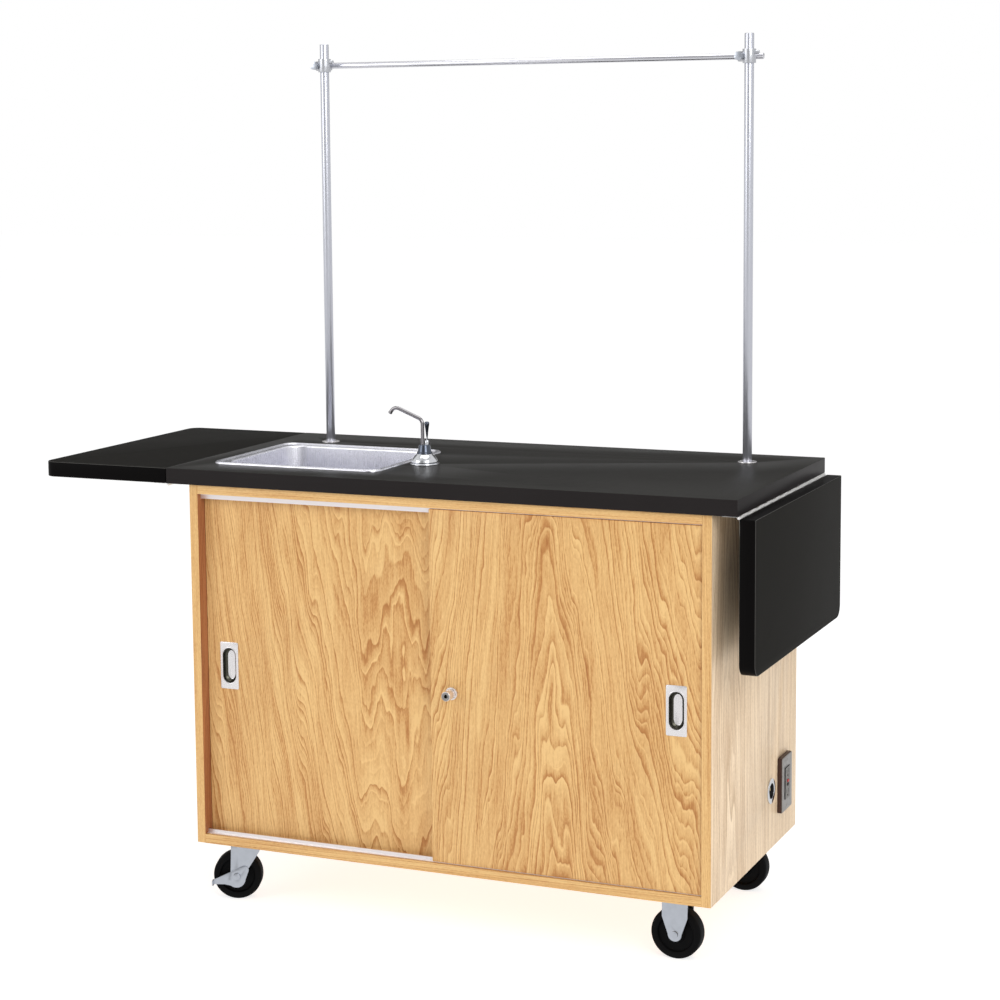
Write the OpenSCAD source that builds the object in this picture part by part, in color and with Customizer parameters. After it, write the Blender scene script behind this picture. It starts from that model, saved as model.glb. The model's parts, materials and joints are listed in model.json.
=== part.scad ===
// Mobile laboratory bench: an oak cabinet on casters with sliding doors, a black worktop with a sink
// and two drop leaves, and an upright rod rack on top. Millimetres, +Z up, the floor at Z = 0.
// The pieces are drawn from the middle of the cabinet's front edge, with +X to the right and +Y to the
// back, and are then moved so that the origin lies on the floor under the middle of the whole object.

/* [Worktop] */
// Width of the worktop between its two drop leaves
top_w = 1219.2; // [1180:0.1:1300]
// Depth of the worktop from front to back
top_d = 609.6; // [600:0.1:660]
// Height of the working surface above the floor
top_h = 914.4; // [880:0.1:960]
// Thickness of the worktop and of the leaves
top_t = 31.75; // [24:0.25:38]
// How far the worktop stands past the front of the cabinet
top_front = 6; // [2:0.5:12]
// Length of each drop leaf
leaf_l = 297; // [240:1:330]
// Radius of the outer corners of the leaves
leaf_corner_r = 25; // [8:1:50]
// Gap between the worktop and a raised leaf
seam = 1.2; // [0.6:0.1:2.4]

/* [Leaf hinges] */
// Height of the hinge axis under the worktop's lower face
hinge_drop = 3.2; // [3:0.1:5]
// Width of one hinge plate
hinge_plate_w = 32; // [20:1:45]
// Thickness of a hinge plate
hinge_plate_t = 1.5; // [1:0.1:2]
// Outside radius of the hinge knuckles
knuckle_r = 2.6; // [2.2:0.1:2.9]
// Radius of the hinge pin
hinge_pin_r = 1.2; // [0.8:0.1:1.5]
// Length of one knuckle
knuckle_l = 25; // [15:1:40]
// How far each hinge ends short of the worktop's front and back edges
hinge_end = 6; // [2:1:20]

/* [Leaf stays] */
// Distance of a stay's pivot on the leaf from the hinge axis
stay_out = 120; // [105:1:135]
// Drop of the pivot on the leaf under the hinge axis
stay_leaf_drop = 8; // [8:0.5:10]
// Drop of the pivot on the cabinet under the hinge axis
stay_wall_drop = 80; // [75:1:86]
// Distance of that pivot from the cabinet's side
stay_wall_off = 9.2; // [9:0.1:11]
// Length of the lower bar between its pivots
stay_low_l = 70; // [68:0.5:74]
// Width of the stay bars
stay_bar_w = 16; // [12:0.5:16]
// Thickness of the stay bars
stay_bar_t = 3; // [2:0.25:4]
// Radius of the stay pins
stay_pin_r = 3; // [2:0.25:3.5]
// Spacing of the two stays under a leaf
stay_span = 150; // [110:1:300]

/* [Cabinet] */
// How far the worktop stands past each side of the cabinet
top_side = 50.6; // [45:0.1:60]
// How far the worktop stands past the back of the cabinet
top_rear = 25.6; // [14:0.1:44]
// Thickness of the oak panels
panel_t = 19; // [17:0.5:21]
// Thickness of the back panel
back_t = 6.4; // [4:0.1:10]
// Distance of the divider's middle from the inside of the left panel
bay_w = 580; // [570:1:600]
// Gap between the rear door and the divider
divider_gap = 4; // [2:0.5:10]
// Height of the shelf above the cabinet's floor
shelf_h = 330; // [300:1:360]
// Gap at each end of the shelf
shelf_gap = 1; // [0.5:0.1:2]
// How far the shelf's front edge lies behind the divider's front edge
shelf_in = 10; // [0:1:40]
// Radius of the shelf pins
shelf_pin_r = 3; // [2.5:0.25:4]
// Spacing of the shelf pin holes
pin_pitch = 32; // [25:1:40]
// Rows of pin holes above and below the shelf
pin_rows = 2; // [1:1:4]

/* [Sliding doors] */
// Thickness of the doors
door_t = 19; // [17:0.5:20]
// How far the front door, on the right, reaches past the cabinet's middle
front_past = 22; // [20:1:34]
// How far the rear door, on the left, reaches past the cabinet's middle
rear_past = 61; // [52:1:80]
// How far the front door's face lies behind the cabinet's front edge
door_in = 4; // [3:0.5:8]
// Gap between the two doors
door_gap = 4; // [3:0.5:6]
// Gap beside each closed door
door_side = 1; // [0.5:0.1:2]
// Thickness of the track's base strip
track_t = 2; // [1:0.25:3]
// Thickness of the track's rails
rail_t = 3; // [2:0.25:4]
// Height of the upper rails
rail_top_h = 9; // [6:0.5:12]
// Height of the lower rails
rail_low_h = 6; // [4:0.5:9]
// Running clearance between a door and its track
track_run = 0.5; // [0.3:0.1:1]

/* [Finger pulls] */
// Width of the pull's plate
pull_w = 42; // [38:1:48]
// Height of the pull's plate
pull_h = 98; // [90:1:110]
// Width of the pull's cup
cup_w = 31; // [26:1:34]
// Height of the pull's cup
cup_h = 74; // [60:1:80]
// Depth of the pull's cup
cup_d = 11; // [8:0.5:13]
// Thickness of the pull's sheet metal
pull_t = 1.2; // [0.8:0.1:2]
// Distance of a pull's middle from the outer edge of its door
pull_in = 50; // [40:1:70]
// Height of the pulls above the floor
pull_z = 505; // [450:1:560]

/* [Push lock] */
// Distance of the lock from the front door's inner edge
lock_in = 46; // [40:1:54]
// Height of the lock above the floor
lock_z = 497; // [450:1:560]
// Radius of the lock's collar
lock_collar_r = 12.5; // [12:0.25:14]
// Thickness of the lock's collar
lock_collar_t = 4; // [2:0.5:6]
// Radius of the lock's body inside the door
lock_body_r = 11.5; // [11:0.25:11.75]
// Radius of the push cylinder
lock_push_r = 9.5; // [8:0.25:10]
// How far the push cylinder stands out from the door when it is open
lock_out = 30; // [24:1:36]
// Travel of the push cylinder
lock_travel = 14; // [12:0.5:14.5]
// Radius of the lock's bolt
lock_bolt_r = 4.5; // [3:0.25:6]

/* [Sink] */
// Width of the sink over its rim
sink_w = 381; // [360:1:400]
// Depth of the sink over its rim, from front to back
sink_d = 330; // [310:1:345]
// Distance of the rim from the worktop's left edge
sink_left = 54; // [46:1:60]
// Distance of the rim from the worktop's front edge
sink_front = 90; // [80:1:96]
// Width of the rim
rim_w = 18; // [14:1:24]
// Height of the rim's rolled edge
rim_h = 5; // [3:0.5:7]
// Depth of the bowl
bowl_d = 150; // [120:1:180]
// Corner radius of the rim's outer edge
rim_r = 24; // [16:1:60]
// Corner radius of the bowl
bowl_r = 45; // [30:1:60]
// Sheet thickness of the sink
sink_t = 1.2; // [1:0.1:2]
// Radius of the drain hole
drain_r = 22; // [18:0.5:26]
// Outside radius of the drain pipe
pipe_r = 16; // [14:0.5:17]
// Wall of the drain pipe
pipe_t = 1.5; // [1:0.25:2.5]

/* [Water tanks] */
// Width of a tank
tank_w = 216; // [190:1:222]
// Depth of a tank
tank_d = 300; // [240:1:330]
// Height of a tank's body
tank_h = 360; // [320:1:400]
// Wall of a tank
tank_t = 3; // [2:0.5:5]
// Corner radius of a tank
tank_r = 30; // [15:1:50]
// Radius of a tank's neck
neck_r = 30; // [26:1:34]
// Height of a tank's neck
neck_h = 22; // [16:1:30]
// How deep the pipes reach into the tanks
pipe_in = 40; // [25:1:60]

/* [Faucet] */
// Distance of the faucet's middle from the sink's rim
faucet_side = 40; // [36:1:50]
// Distance of the faucet's middle from the sink's front edge
faucet_y = 145; // [120:1:170]
// Radius of the faucet's foot
foot_r = 30; // [28:1:36]
// Height of the bell
bell_h = 23; // [20:1:34]
// Radius at the bell's foot
bell_r = 27; // [22:1:29]
// Height of the collar on the bell
collar_h = 18; // [14:1:24]
// Radius of the spout's tube
spout_r = 4.75; // [4:0.25:6]
// Height of the spout's straight riser above the worktop
riser_h = 82; // [72:1:95]
// Rise of the spout's sloping run, in degrees above level
spout_slope = 22; // [10:1:35]
// Length of the spout's sloping run
spout_run = 48; // [35:1:70]
// Radius of the spout's bends
bend_r = 14; // [10:1:20]
// How far the spout's tip turns down, in degrees
tip_turn = 76; // [50:1:90]
// Length of the lever's paddle
lever_l = 38; // [22:1:44]
// Width of the lever's paddle at its top
lever_w = 9; // [6:0.5:12]
// Thickness of the lever's paddle
lever_t = 3; // [2:0.25:4]
// Outside radius of the supply pipe
supply_r = 6.35; // [5:0.25:8]

/* [Rod rack] */
// Diameter of the upright rods
rod_dia = 19.05; // [15:0.05:22]
// Length of the upright rods
rod_l = 914.4; // [700:0.1:1000]
// How deep a rod stands in its socket
rod_in = 44; // [34:1:48]
// Distance of each rod from the worktop's side edge
rod_side = 129.5; // [110:0.1:160]
// Distance of the rods from the worktop's back edge
rod_back = 127; // [110:1:150]
// Radius of a socket's flange
socket_flange_r = 19.5; // [17:0.5:26]
// Wall of a socket
socket_t = 3; // [2:0.5:5]
// Diameter of the crossbar
bar_dia = 12.7; // [10:0.1:16]
// Distance of the crossbar under the tops of the rods
bar_drop = 45.4; // [24:0.2:300]
// How far the crossbar stands out past the left rod
bar_left = 40; // [30:1:80]
// How far the crossbar stands out past the right rod
bar_right = 24; // [20:1:80]
// Wall of the clamps
clamp_t = 4; // [3:0.5:6]
// Height of the clamps
clamp_h = 28; // [24:1:36]
// Radius of the clamp screw's head
screw_head_r = 10; // [7:0.5:12]

/* [Casters] */
// Height of the casters over the wheel and the plate
caster_h = 130; // [126:1:140]
// Radius of the wheels
wheel_r = 50.8; // [46:0.1:51]
// Width of the wheels
wheel_w = 32; // [26:1:34]
// Distance of the rigid casters from the cabinet's right side
caster_side = 89; // [60:1:110]
// Distance of the swivel casters' plates from the cabinet's left side
swivel_side = 76; // [60:1:110]
// Distance of the casters from the cabinet's front and back
caster_in = 70; // [60:1:100]
// Trail of the swivel casters
trail = 18; // [14:1:36]
// How far the swivel casters are turned at rest, in degrees
swivel_turn = 20; // [0:1:45]
// Radius of the axles
axle_r = 5; // [4:0.5:6]
// Thickness of the fork's legs
leg_t = 3; // [2:0.25:4]
// Length of the caster plates
plate_l = 95; // [85:1:110]
// Width of the caster plates
plate_w = 67; // [62:1:90]
// Radius of the caster bolts
bolt_r = 4; // [3:0.25:5]
// Radius of the swivel race
race_r = 27; // [25:0.5:30]
// Length of the brake lever's foot end
brake_l = 49; // [40:1:56]

/* [Outlet and inlet] */
// Width of the outlet box
box_w = 72; // [68:1:80]
// Height of the outlet box
box_h = 116; // [110:1:124]
// How far the outlet box stands out from the cabinet's side
box_out = 9; // [6:0.5:16]
// Distance of the outlet's middle from the cabinet's back
box_back = 101; // [80:1:120]
// Height of the outlet's middle above the floor
box_z = 250; // [230:1:300]
// Radius of the inlet's flange
inlet_r = 26; // [24:0.5:30]
// Distance of the inlet's middle from the outlet's middle
inlet_off = 86; // [75:1:100]
// Height of the inlet's middle above the floor
inlet_z = 253; // [230:1:300]
// Depth of the inlet's recess
inlet_d = 20; // [16:1:24]
// Travel of the outlet's buttons
button_travel = 1.5; // [1:0.1:2]

/* [Hidden] */
$fn = 64;

// clearances: a pin that turns or slides in its bore, a plate beside a moving plate, a loose fit
fit = 0.05;
beside = 0.4;
loose = 0.5;
cut = 1;

// worktop and cabinet planes
top_under = top_h - top_t;
top_back = top_d - top_front;
cab_w = top_w - 2 * top_side;
cab_d = top_back - top_rear;
cab_x = cab_w / 2;
inner_x = cab_x - panel_t;
divider_x = bay_w - inner_x;
floor_top = caster_h + panel_t;
roof_under = top_under - panel_t;
back_y = cab_d - back_t;

// hinge axis of the leaves
hinge_x = top_w / 2 + seam / 2;
hinge_z = top_under - hinge_drop;
hinge_l = top_d - 2 * hinge_end;
knuckle_n = 2 * floor(hinge_l / (2 * knuckle_l));
knuckle_pitch = hinge_l / knuckle_n;
knuckle_gap = 0.3;
plate_in = knuckle_r + beside;

// stays, in the hinge's own plane: first number outwards, second upwards
wall_x = cab_x - hinge_x;
stay_c = [wall_x + stay_wall_off, -stay_wall_drop];
stay_p = [stay_out, -stay_leaf_drop];
stay_high_l = norm(stay_p - stay_c) - stay_low_l;
stay_p_down = [-stay_leaf_drop, -stay_out];
stay_gap = norm(stay_p_down - stay_c);
stay_u = (stay_p_down - stay_c) / stay_gap;
stay_along = (stay_low_l * stay_low_l - stay_high_l * stay_high_l + stay_gap * stay_gap) / (2 * stay_gap);
stay_off = sqrt(stay_low_l * stay_low_l - stay_along * stay_along);
stay_e_up = stay_c + (stay_p - stay_c) * stay_low_l / norm(stay_p - stay_c);
stay_e_down = stay_c + stay_u * stay_along + [-stay_u[1], stay_u[0]] * stay_off;
stay_e_down_leaf = [-stay_e_down[1], stay_e_down[0]];
stay_head_r = stay_pin_r + 2.5;
stay_head_t = 2;
stay_base_h = 32;
stay_base_w = 26;
stay_mid = top_d / 2 - top_front;
tie_r = 3;
low_tie = 22;
high_tie = 28;

// doors and tracks
door_low = floor_top + track_t + track_run;
door_high = roof_under - track_t - track_run;
front_door_y = door_in;
rear_door_y = door_in + door_t + door_gap;
doors_back = rear_door_y + door_t;
front_door_w = inner_x - door_side + front_past;
rear_door_w = inner_x - door_side + rear_past;
front_door_x = -front_past;
rear_door_x = -inner_x + door_side;
lock_x = front_door_x + lock_in;
lock_wall = 2;
lock_hole_d = 12;
divider_front = doors_back + divider_gap;

// sink, faucet and tanks
sink_x = -top_w / 2 + sink_left + sink_w / 2;
sink_y = -top_front + sink_front + sink_d / 2;
bowl_w = sink_w - 2 * rim_w;
bowl_l = sink_d - 2 * rim_w;
bowl_floor = top_h - bowl_d;
faucet_x = sink_x + sink_w / 2 + faucet_side;
faucet_yy = sink_y - sink_d / 2 + faucet_y;
tank_top = floor_top + tank_h;
cap_h = 16;
cap_t = 2.5;
cap_top = tank_top + neck_h + cap_t;
cone_r = 14;
cone_top_r = 12;
collar_top = top_h + bell_h + collar_h;
spout_dx = -4;
lever_dx = 6;
boss_r = 4.5;
boss_h = 9;
lever_pin_r = 1;
lever_pin_z = collar_top + 5;
shank_r = 9;
shank_l = top_t + panel_t + 12;

// rods
rod_r = rod_dia / 2;
bar_r = bar_dia / 2;
rod_x = top_w / 2 - rod_side;
rod_y = top_back - rod_back;
bar_h = top_h - rod_in + rod_l - bar_drop;
bar_y = rod_y + rod_r + bar_r + clamp_t;
screw_dx = -(rod_r + clamp_t + screw_head_r / 2);
screw_r = 4;
boss_l = rod_r + 1.5;

// casters
caster_x = cab_x - caster_side;
swivel_x = cab_x - swivel_side;
caster_front_y = caster_in;
caster_back_y = cab_d - caster_in;
plate_t = 3;
race_h = 12;
crown_t = 4;
crown_top = caster_h - plate_t - race_h - beside;
leg_in = wheel_w / 2 + 1.5;
leg_out = leg_in + leg_t;
leg_w = 52;
swivel_leg_w = 60;
leg_end_r = 14;
king_r = 6;
king_head_r = 10;
axle_head_r = 7;
axle_head_t = 3;
brake_t = 2.5;
bolt_in = 12;
bolt_head_r = 7;
bolt_head_t = 4;

// outlet and inlet
box_y = cab_d - box_back;
box_t = 3;
box_depth = panel_t + 26;
cover_t = 1.5;
device_w = 33;
device_h = 66;
device_out = 1.5;
cavity_w = device_w + 2 * box_t;
cavity_h = device_h + 6 * box_t;
strap_t = 1.5;
inlet_case = 36;
face_x = cab_x + box_out + cover_t;
inlet_y = box_y - inlet_off;
inlet_body_r = 20;
inlet_bore_r = 16;
inlet_flange_t = 3;
button_w = 8;
button_h = 5;
button_z = 4;
button_out = 2;
conduit_r = 8;
conduit_x = inner_x - conduit_r - 6;

// the middle of the whole object, and the move to it
left_reach = hinge_x + seam / 2 + leaf_l;
right_reach = hinge_x + hinge_drop + top_t;
front_reach = max(top_front, lock_out - door_in);
middle_x = (right_reach - left_reach) / 2;
middle_y = (top_back - front_reach) / 2;

module place() {
    translate([-middle_x, -middle_y, 0]) children();
}

// helpers: cylinders along X and Y, a plate that stands in the XZ plane, one in the YZ plane
module cyl_x(x, l, r) {
    translate([x, 0, 0]) rotate([0, 90, 0]) cylinder(h = l, r = r);
}

module cyl_y(y, l, r) {
    translate([0, y, 0]) rotate([-90, 0, 0]) cylinder(h = l, r = r);
}

module plate_xz(y, t) {
    translate([0, y + t, 0]) rotate([90, 0, 0]) linear_extrude(t) children();
}

module plate_yz(x, t) {
    translate([x, 0, 0]) rotate([90, 0, 90]) linear_extrude(t) children();
}

module round_rect(w, h, r) {
    square([w - 2 * r, h], center = true);
    square([w, h - 2 * r], center = true);
    for (x = [-1, 1], y = [-1, 1]) translate([x * (w / 2 - r), y * (h / 2 - r)]) circle(r);
}

module slot_shape(w, h) {
    square([w, h - w], center = true);
    for (y = [-1, 1]) translate([0, y * (h - w) / 2]) circle(w / 2);
}

// Cabinet
module side_panel() {
    translate([inner_x, 0, caster_h]) cube([panel_t, cab_d, top_under - caster_h]);
}

module pin_holes(x, l) {
    for (y = pin_places, row = [-pin_rows : pin_rows])
        translate([0, y, floor_top + shelf_h - shelf_pin_r + row * pin_pitch])
            cyl_x(x, l, shelf_pin_r + fit);
}

pin_places = [divider_front + shelf_in + 50, back_y - 60];
pin_depth = 10;
pin_out = 12;

module left_side_panel() {
    color("burlywood") mirror([1, 0, 0]) side_panel();
}

module right_side_panel() {
    color("burlywood") difference() {
        side_panel();
        translate([0, box_y, box_z])
            plate_yz(inner_x - cut, panel_t + 2 * cut)
                square([cavity_w + 2 * box_t + 2 * loose, cavity_h + 2 * box_t + 2 * loose], center = true);
        translate([0, inlet_y, inlet_z]) cyl_x(inner_x - cut, panel_t + 2 * cut, inlet_body_r + loose);
        pin_holes(inner_x - cut, pin_depth + cut);
    }
}

module bottom_panel() {
    color("burlywood") difference() {
        translate([-inner_x, 0, caster_h]) cube([2 * inner_x, back_y, panel_t]);
        caster_bolt_places() translate([0, 0, caster_h - cut]) cylinder(h = bolt_in + cut + fit, r = bolt_r + fit);
    }
}

module top_panel() {
    color("burlywood") difference() {
        translate([-inner_x, 0, roof_under]) cube([2 * inner_x, back_y, panel_t]);
        translate([sink_x, sink_y, roof_under - cut])
            linear_extrude(panel_t + 2 * cut) round_rect(bowl_w + 8, bowl_l + 8, bowl_r + 4);
        translate([faucet_x, faucet_yy, roof_under - cut]) cylinder(h = panel_t + 2 * cut, r = shank_r + loose);
        for (s = [-1, 1]) translate([s * rod_x, rod_y, roof_under - cut])
            cylinder(h = panel_t + 2 * cut, r = rod_r + socket_t + loose);
    }
}

module back_panel() {
    color("tan") translate([-inner_x, back_y, caster_h]) cube([2 * inner_x, back_t, top_under - caster_h]);
}

module centre_divider() {
    color("burlywood") difference() {
        translate([divider_x - panel_t / 2, divider_front, floor_top])
            cube([panel_t, back_y - divider_front, roof_under - floor_top]);
        pin_holes(divider_x + panel_t / 2 - pin_depth, pin_depth + cut);
    }
}

module cabinet_shelf() {
    left = divider_x + panel_t / 2 + shelf_gap;
    front = divider_front + shelf_in;
    color("burlywood") translate([left, front, floor_top + shelf_h])
        cube([inner_x - shelf_gap - left, back_y - shelf_gap - front, panel_t]);
}

module shelf_pins() {
    color("silver") for (y = pin_places) translate([0, y, floor_top + shelf_h - shelf_pin_r]) {
        cyl_x(divider_x + panel_t / 2 - pin_depth, pin_depth + pin_out, shelf_pin_r);
        cyl_x(inner_x - pin_out, pin_depth + pin_out, shelf_pin_r);
    }
}

// Door tracks: a strip with two rails, on which the grooved edges of the doors run
module track_rails(h) {
    for (y = [front_door_y, rear_door_y]) translate([-inner_x, y + door_t / 2 - rail_t / 2, 0])
        cube([2 * inner_x, rail_t, h]);
}

module track_strip() {
    translate([-inner_x, front_door_y - 2, 0]) cube([2 * inner_x, doors_back - front_door_y, track_t]);
}

module door_tracks() {
    color("lightgray") {
        translate([0, 0, floor_top]) {
            track_strip();
            track_rails(track_t + rail_low_h);
        }
        translate([0, 0, roof_under - track_t]) {
            track_strip();
            translate([0, 0, -rail_top_h]) track_rails(rail_top_h + track_t);
        }
    }
}

// Doors
module door_board(x, y, w) {
    mid = y + door_t / 2;
    groove = rail_t + 2 * track_run;
    difference() {
        translate([x, y, door_low]) cube([w, door_t, door_high - door_low]);
        translate([x - cut, mid - groove / 2, door_low - cut])
            cube([w + 2 * cut, groove, rail_low_h + cut]);
        translate([x - cut, mid - groove / 2, door_high - rail_top_h])
            cube([w + 2 * cut, groove, rail_top_h + cut]);
    }
}

module pull_pocket(x, y) {
    translate([x, 0, pull_z])
        plate_xz(y - cut, cup_d + pull_t + loose + cut) slot_shape(cup_w + 2 * pull_t + loose, cup_h + 2 * pull_t + loose);
}

module finger_pull(x, y) {
    translate([x, 0, pull_z]) difference() {
        union() {
            plate_xz(y - pull_t, pull_t) round_rect(pull_w, pull_h, 3);
            plate_xz(y - pull_t, cup_d + 2 * pull_t) slot_shape(cup_w + 2 * pull_t, cup_h + 2 * pull_t);
        }
        plate_xz(y - pull_t - cut, cup_d + pull_t + cut) slot_shape(cup_w, cup_h);
    }
}

module front_door() {
    color("peru") difference() {
        door_board(front_door_x, front_door_y, front_door_w);
        pull_pocket(inner_x - door_side - pull_in, front_door_y);
        translate([lock_x, 0, lock_z]) cyl_y(front_door_y - cut, door_t + 2 * cut, lock_body_r + fit);
    }
}

module rear_door() {
    color("peru") difference() {
        door_board(rear_door_x, rear_door_y, rear_door_w);
        pull_pocket(rear_door_x + pull_in, rear_door_y);
        translate([lock_x, 0, lock_z]) cyl_y(rear_door_y - cut, lock_hole_d + cut, lock_bolt_r + loose);
    }
}

module front_door_pull() {
    color("silver") finger_pull(inner_x - door_side - pull_in, front_door_y);
}

module rear_door_pull() {
    color("silver") finger_pull(rear_door_x + pull_in, rear_door_y);
}

module lock_housing() {
    color("silver") translate([lock_x, 0, lock_z]) difference() {
        union() {
            cyl_y(front_door_y - lock_collar_t, lock_collar_t, lock_collar_r);
            cyl_y(front_door_y - cut, door_t + cut, lock_body_r);
        }
        cyl_y(front_door_y - lock_collar_t - cut, lock_collar_t + door_t - lock_wall + cut, lock_push_r + fit);
        cyl_y(front_door_y, door_t + cut, lock_bolt_r + fit);
    }
}

module lock_plunger() {
    face = front_door_y - lock_out;
    shoulder = front_door_y + door_t - lock_wall - lock_travel - beside;
    color("lightgray") translate([lock_x, 0, lock_z]) difference() {
        union() {
            cyl_y(face + 1, shoulder - face - 1, lock_push_r);
            translate([0, face, 0]) rotate([-90, 0, 0]) cylinder(h = 1, r1 = lock_push_r - 1, r2 = lock_push_r);
            cyl_y(shoulder, front_door_y + door_t - shoulder, lock_bolt_r);
        }
        plate_xz(face - cut, 3 + cut) square([1.6, 7], center = true);
        cyl_y(face - cut, 1.6 + cut, 4.5);
    }
}

// Worktop
module worktop() {
    color("dimgray") difference() {
        translate([-top_w / 2, -top_front, top_under]) cube([top_w, top_d, top_t]);
        translate([sink_x, sink_y, top_under - cut])
            linear_extrude(top_t + 2 * cut) round_rect(bowl_w + 6, bowl_l + 6, bowl_r + 3);
        translate([faucet_x, faucet_yy, top_under - cut]) cylinder(h = top_t + 2 * cut, r = shank_r + loose);
        for (s = [-1, 1]) translate([s * rod_x, rod_y, top_under - cut])
            cylinder(h = top_t + 2 * cut, r = rod_r + socket_t + fit);
    }
}

// Drop leaves, drawn raised and outwards from the hinge axis
module at_leaf(side, down) {
    mirror([side < 0 ? 1 : 0, 0, 0]) translate([hinge_x, 0, hinge_z]) rotate([0, down ? 90 : 0, 0]) children();
}

module leaf_board() {
    translate([seam / 2, -top_front, hinge_drop]) linear_extrude(top_t) {
        square([leaf_l - leaf_corner_r, top_d]);
        translate([0, leaf_corner_r]) square([leaf_l, top_d - 2 * leaf_corner_r]);
        for (y = [leaf_corner_r, top_d - leaf_corner_r]) translate([leaf_l - leaf_corner_r, y]) circle(leaf_corner_r);
    }
}

module hinge_half(first) {
    start = -top_front + hinge_end;
    translate([plate_in, start, hinge_drop - hinge_plate_t])
        cube([hinge_plate_w - plate_in, hinge_l, hinge_plate_t]);
    for (i = [first : 2 : knuckle_n - 1]) translate([0, start + i * knuckle_pitch + knuckle_gap / 2, 0])
        difference() {
            union() {
                cyl_y(0, knuckle_pitch - knuckle_gap, knuckle_r);
                translate([0, 0, hinge_drop - hinge_plate_t])
                    cube([plate_in + cut, knuckle_pitch - knuckle_gap, hinge_plate_t]);
            }
            cyl_y(-cut, knuckle_pitch + 2 * cut, hinge_pin_r + fit);
        }
}

module top_hinges() {
    color("silver") for (side = [-1, 1]) at_leaf(side, false) {
        mirror([1, 0, 0]) hinge_half(1);
        cyl_y(-top_front + hinge_end, hinge_l, hinge_pin_r);
    }
}

module left_leaf() {
    color("dimgray") at_leaf(-1, false) leaf_board();
}

module right_leaf() {
    color("dimgray") at_leaf(1, true) leaf_board();
}

module left_leaf_hinge_plate() {
    color("silver") at_leaf(-1, false) hinge_half(0);
}

module right_leaf_hinge_plate() {
    color("silver") at_leaf(1, true) hinge_half(0);
}

// Folding stays: each leaf has two, whose bars are tied in pairs by cross rods
module stay_pair() {
    translate([0, stay_mid - stay_span / 2, 0]) children();
    translate([0, stay_mid + stay_span / 2, 0]) mirror([0, 1, 0]) children();
}

module at_point(p) {
    translate([p[0], 0, p[1]]) children();
}

// a bar from a pivot towards another point, with a rivet head at its elbow end and half the cross rod
module stay_bar(from, to, l, y, head_y, tie) {
    d = to - from;
    at_point(from) rotate([0, -atan2(d[1], d[0]), 0]) {
        plate_xz(y, stay_bar_t) difference() {
            union() {
                translate([0, -stay_bar_w / 2]) square([l, stay_bar_w]);
                circle(stay_bar_w / 2);
                translate([l, 0]) circle(stay_bar_w / 2);
            }
            circle(stay_pin_r + fit);
        }
        translate([l, 0, 0]) cyl_y(head_y, stay_head_t, stay_head_r);
        translate([tie, 0, 0]) cyl_y(y + cut, stay_span / 2 - y, tie_r);
    }
}

module stay_lower(elbow) {
    stay_pair() stay_bar(stay_c, elbow, stay_low_l, 0, stay_bar_t, low_tie);
}

module stay_upper(elbow) {
    y = -beside - stay_bar_t;
    stay_pair() stay_bar(stay_p, elbow, stay_high_l, y, y - stay_head_t, high_tie);
}

module stay_wall_bracket() {
    ear_y = stay_bar_t + beside;
    translate([wall_x, ear_y, stay_c[1] - stay_base_h / 2]) cube([stay_bar_t, stay_base_w, stay_base_h]);
    plate_xz(ear_y, stay_bar_t) {
        translate([wall_x, stay_c[1] - stay_bar_w / 2]) square([stay_wall_off, stay_bar_w]);
        translate(stay_c) circle(stay_bar_w / 2);
    }
    at_point(stay_c) {
        cyl_y(-beside, ear_y + beside + cut, stay_pin_r);
        cyl_y(-beside - stay_head_t, stay_head_t, stay_head_r);
    }
}

module stay_ear() {
    ear_y = -2 * beside - 2 * stay_bar_t;
    translate([stay_p[0] - stay_base_h / 2, ear_y - stay_base_w + stay_bar_t, hinge_drop - stay_bar_t])
        cube([stay_base_h, stay_base_w, stay_bar_t]);
    plate_xz(ear_y, stay_bar_t) {
        translate([stay_p[0] - stay_bar_w / 2, stay_p[1]]) square([stay_bar_w, hinge_drop - stay_p[1]]);
        translate(stay_p) circle(stay_bar_w / 2);
    }
    at_point(stay_p) {
        cyl_y(ear_y, 2 * stay_bar_t + 2 * beside, stay_pin_r);
        cyl_y(0, stay_head_t, stay_head_r);
    }
}

module stay_wall_brackets() {
    color("silver") for (side = [-1, 1]) at_leaf(side, false) stay_pair() stay_wall_bracket();
}

module left_stay_ears() {
    color("silver") at_leaf(-1, false) stay_pair() stay_ear();
}

module right_stay_ears() {
    color("silver") at_leaf(1, true) stay_pair() stay_ear();
}

module left_stay_lower() {
    color("lightsteelblue") at_leaf(-1, false) stay_lower(stay_e_up);
}

module left_stay_upper() {
    color("lightsteelblue") at_leaf(-1, false) stay_upper(stay_e_up);
}

module right_stay_lower() {
    color("lightsteelblue") at_leaf(1, false) stay_lower(stay_e_down);
}

module right_stay_upper() {
    color("lightsteelblue") at_leaf(1, true) stay_upper(stay_e_down_leaf);
}

// Sink: a rolled rim, a flat flange and a bowl with a drain hole
module rim_profile() {
    difference() {
        circle(rim_h);
        translate([-2 * rim_h, -2 * rim_h]) square([4 * rim_h, 2 * rim_h]);
        circle(rim_h - sink_t);
    }
}

module rim_bead() {
    w = sink_w / 2 - rim_r;
    d = sink_d / 2 - rim_r;
    mid = rim_r - rim_h;
    for (s = [0, 180]) rotate([0, 0, s]) {
        translate([w + mid, d, 0]) rotate([90, 0, 0]) linear_extrude(2 * d) rim_profile();
        translate([-w, d + mid, 0]) rotate([90, 0, 90]) linear_extrude(2 * w) rim_profile();
        translate([w, d, 0]) rotate_extrude(angle = 90) translate([mid, 0]) rim_profile();
        translate([-w, d, 0]) rotate([0, 0, 90]) rotate_extrude(angle = 90) translate([mid, 0]) rim_profile();
    }
}

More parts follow.
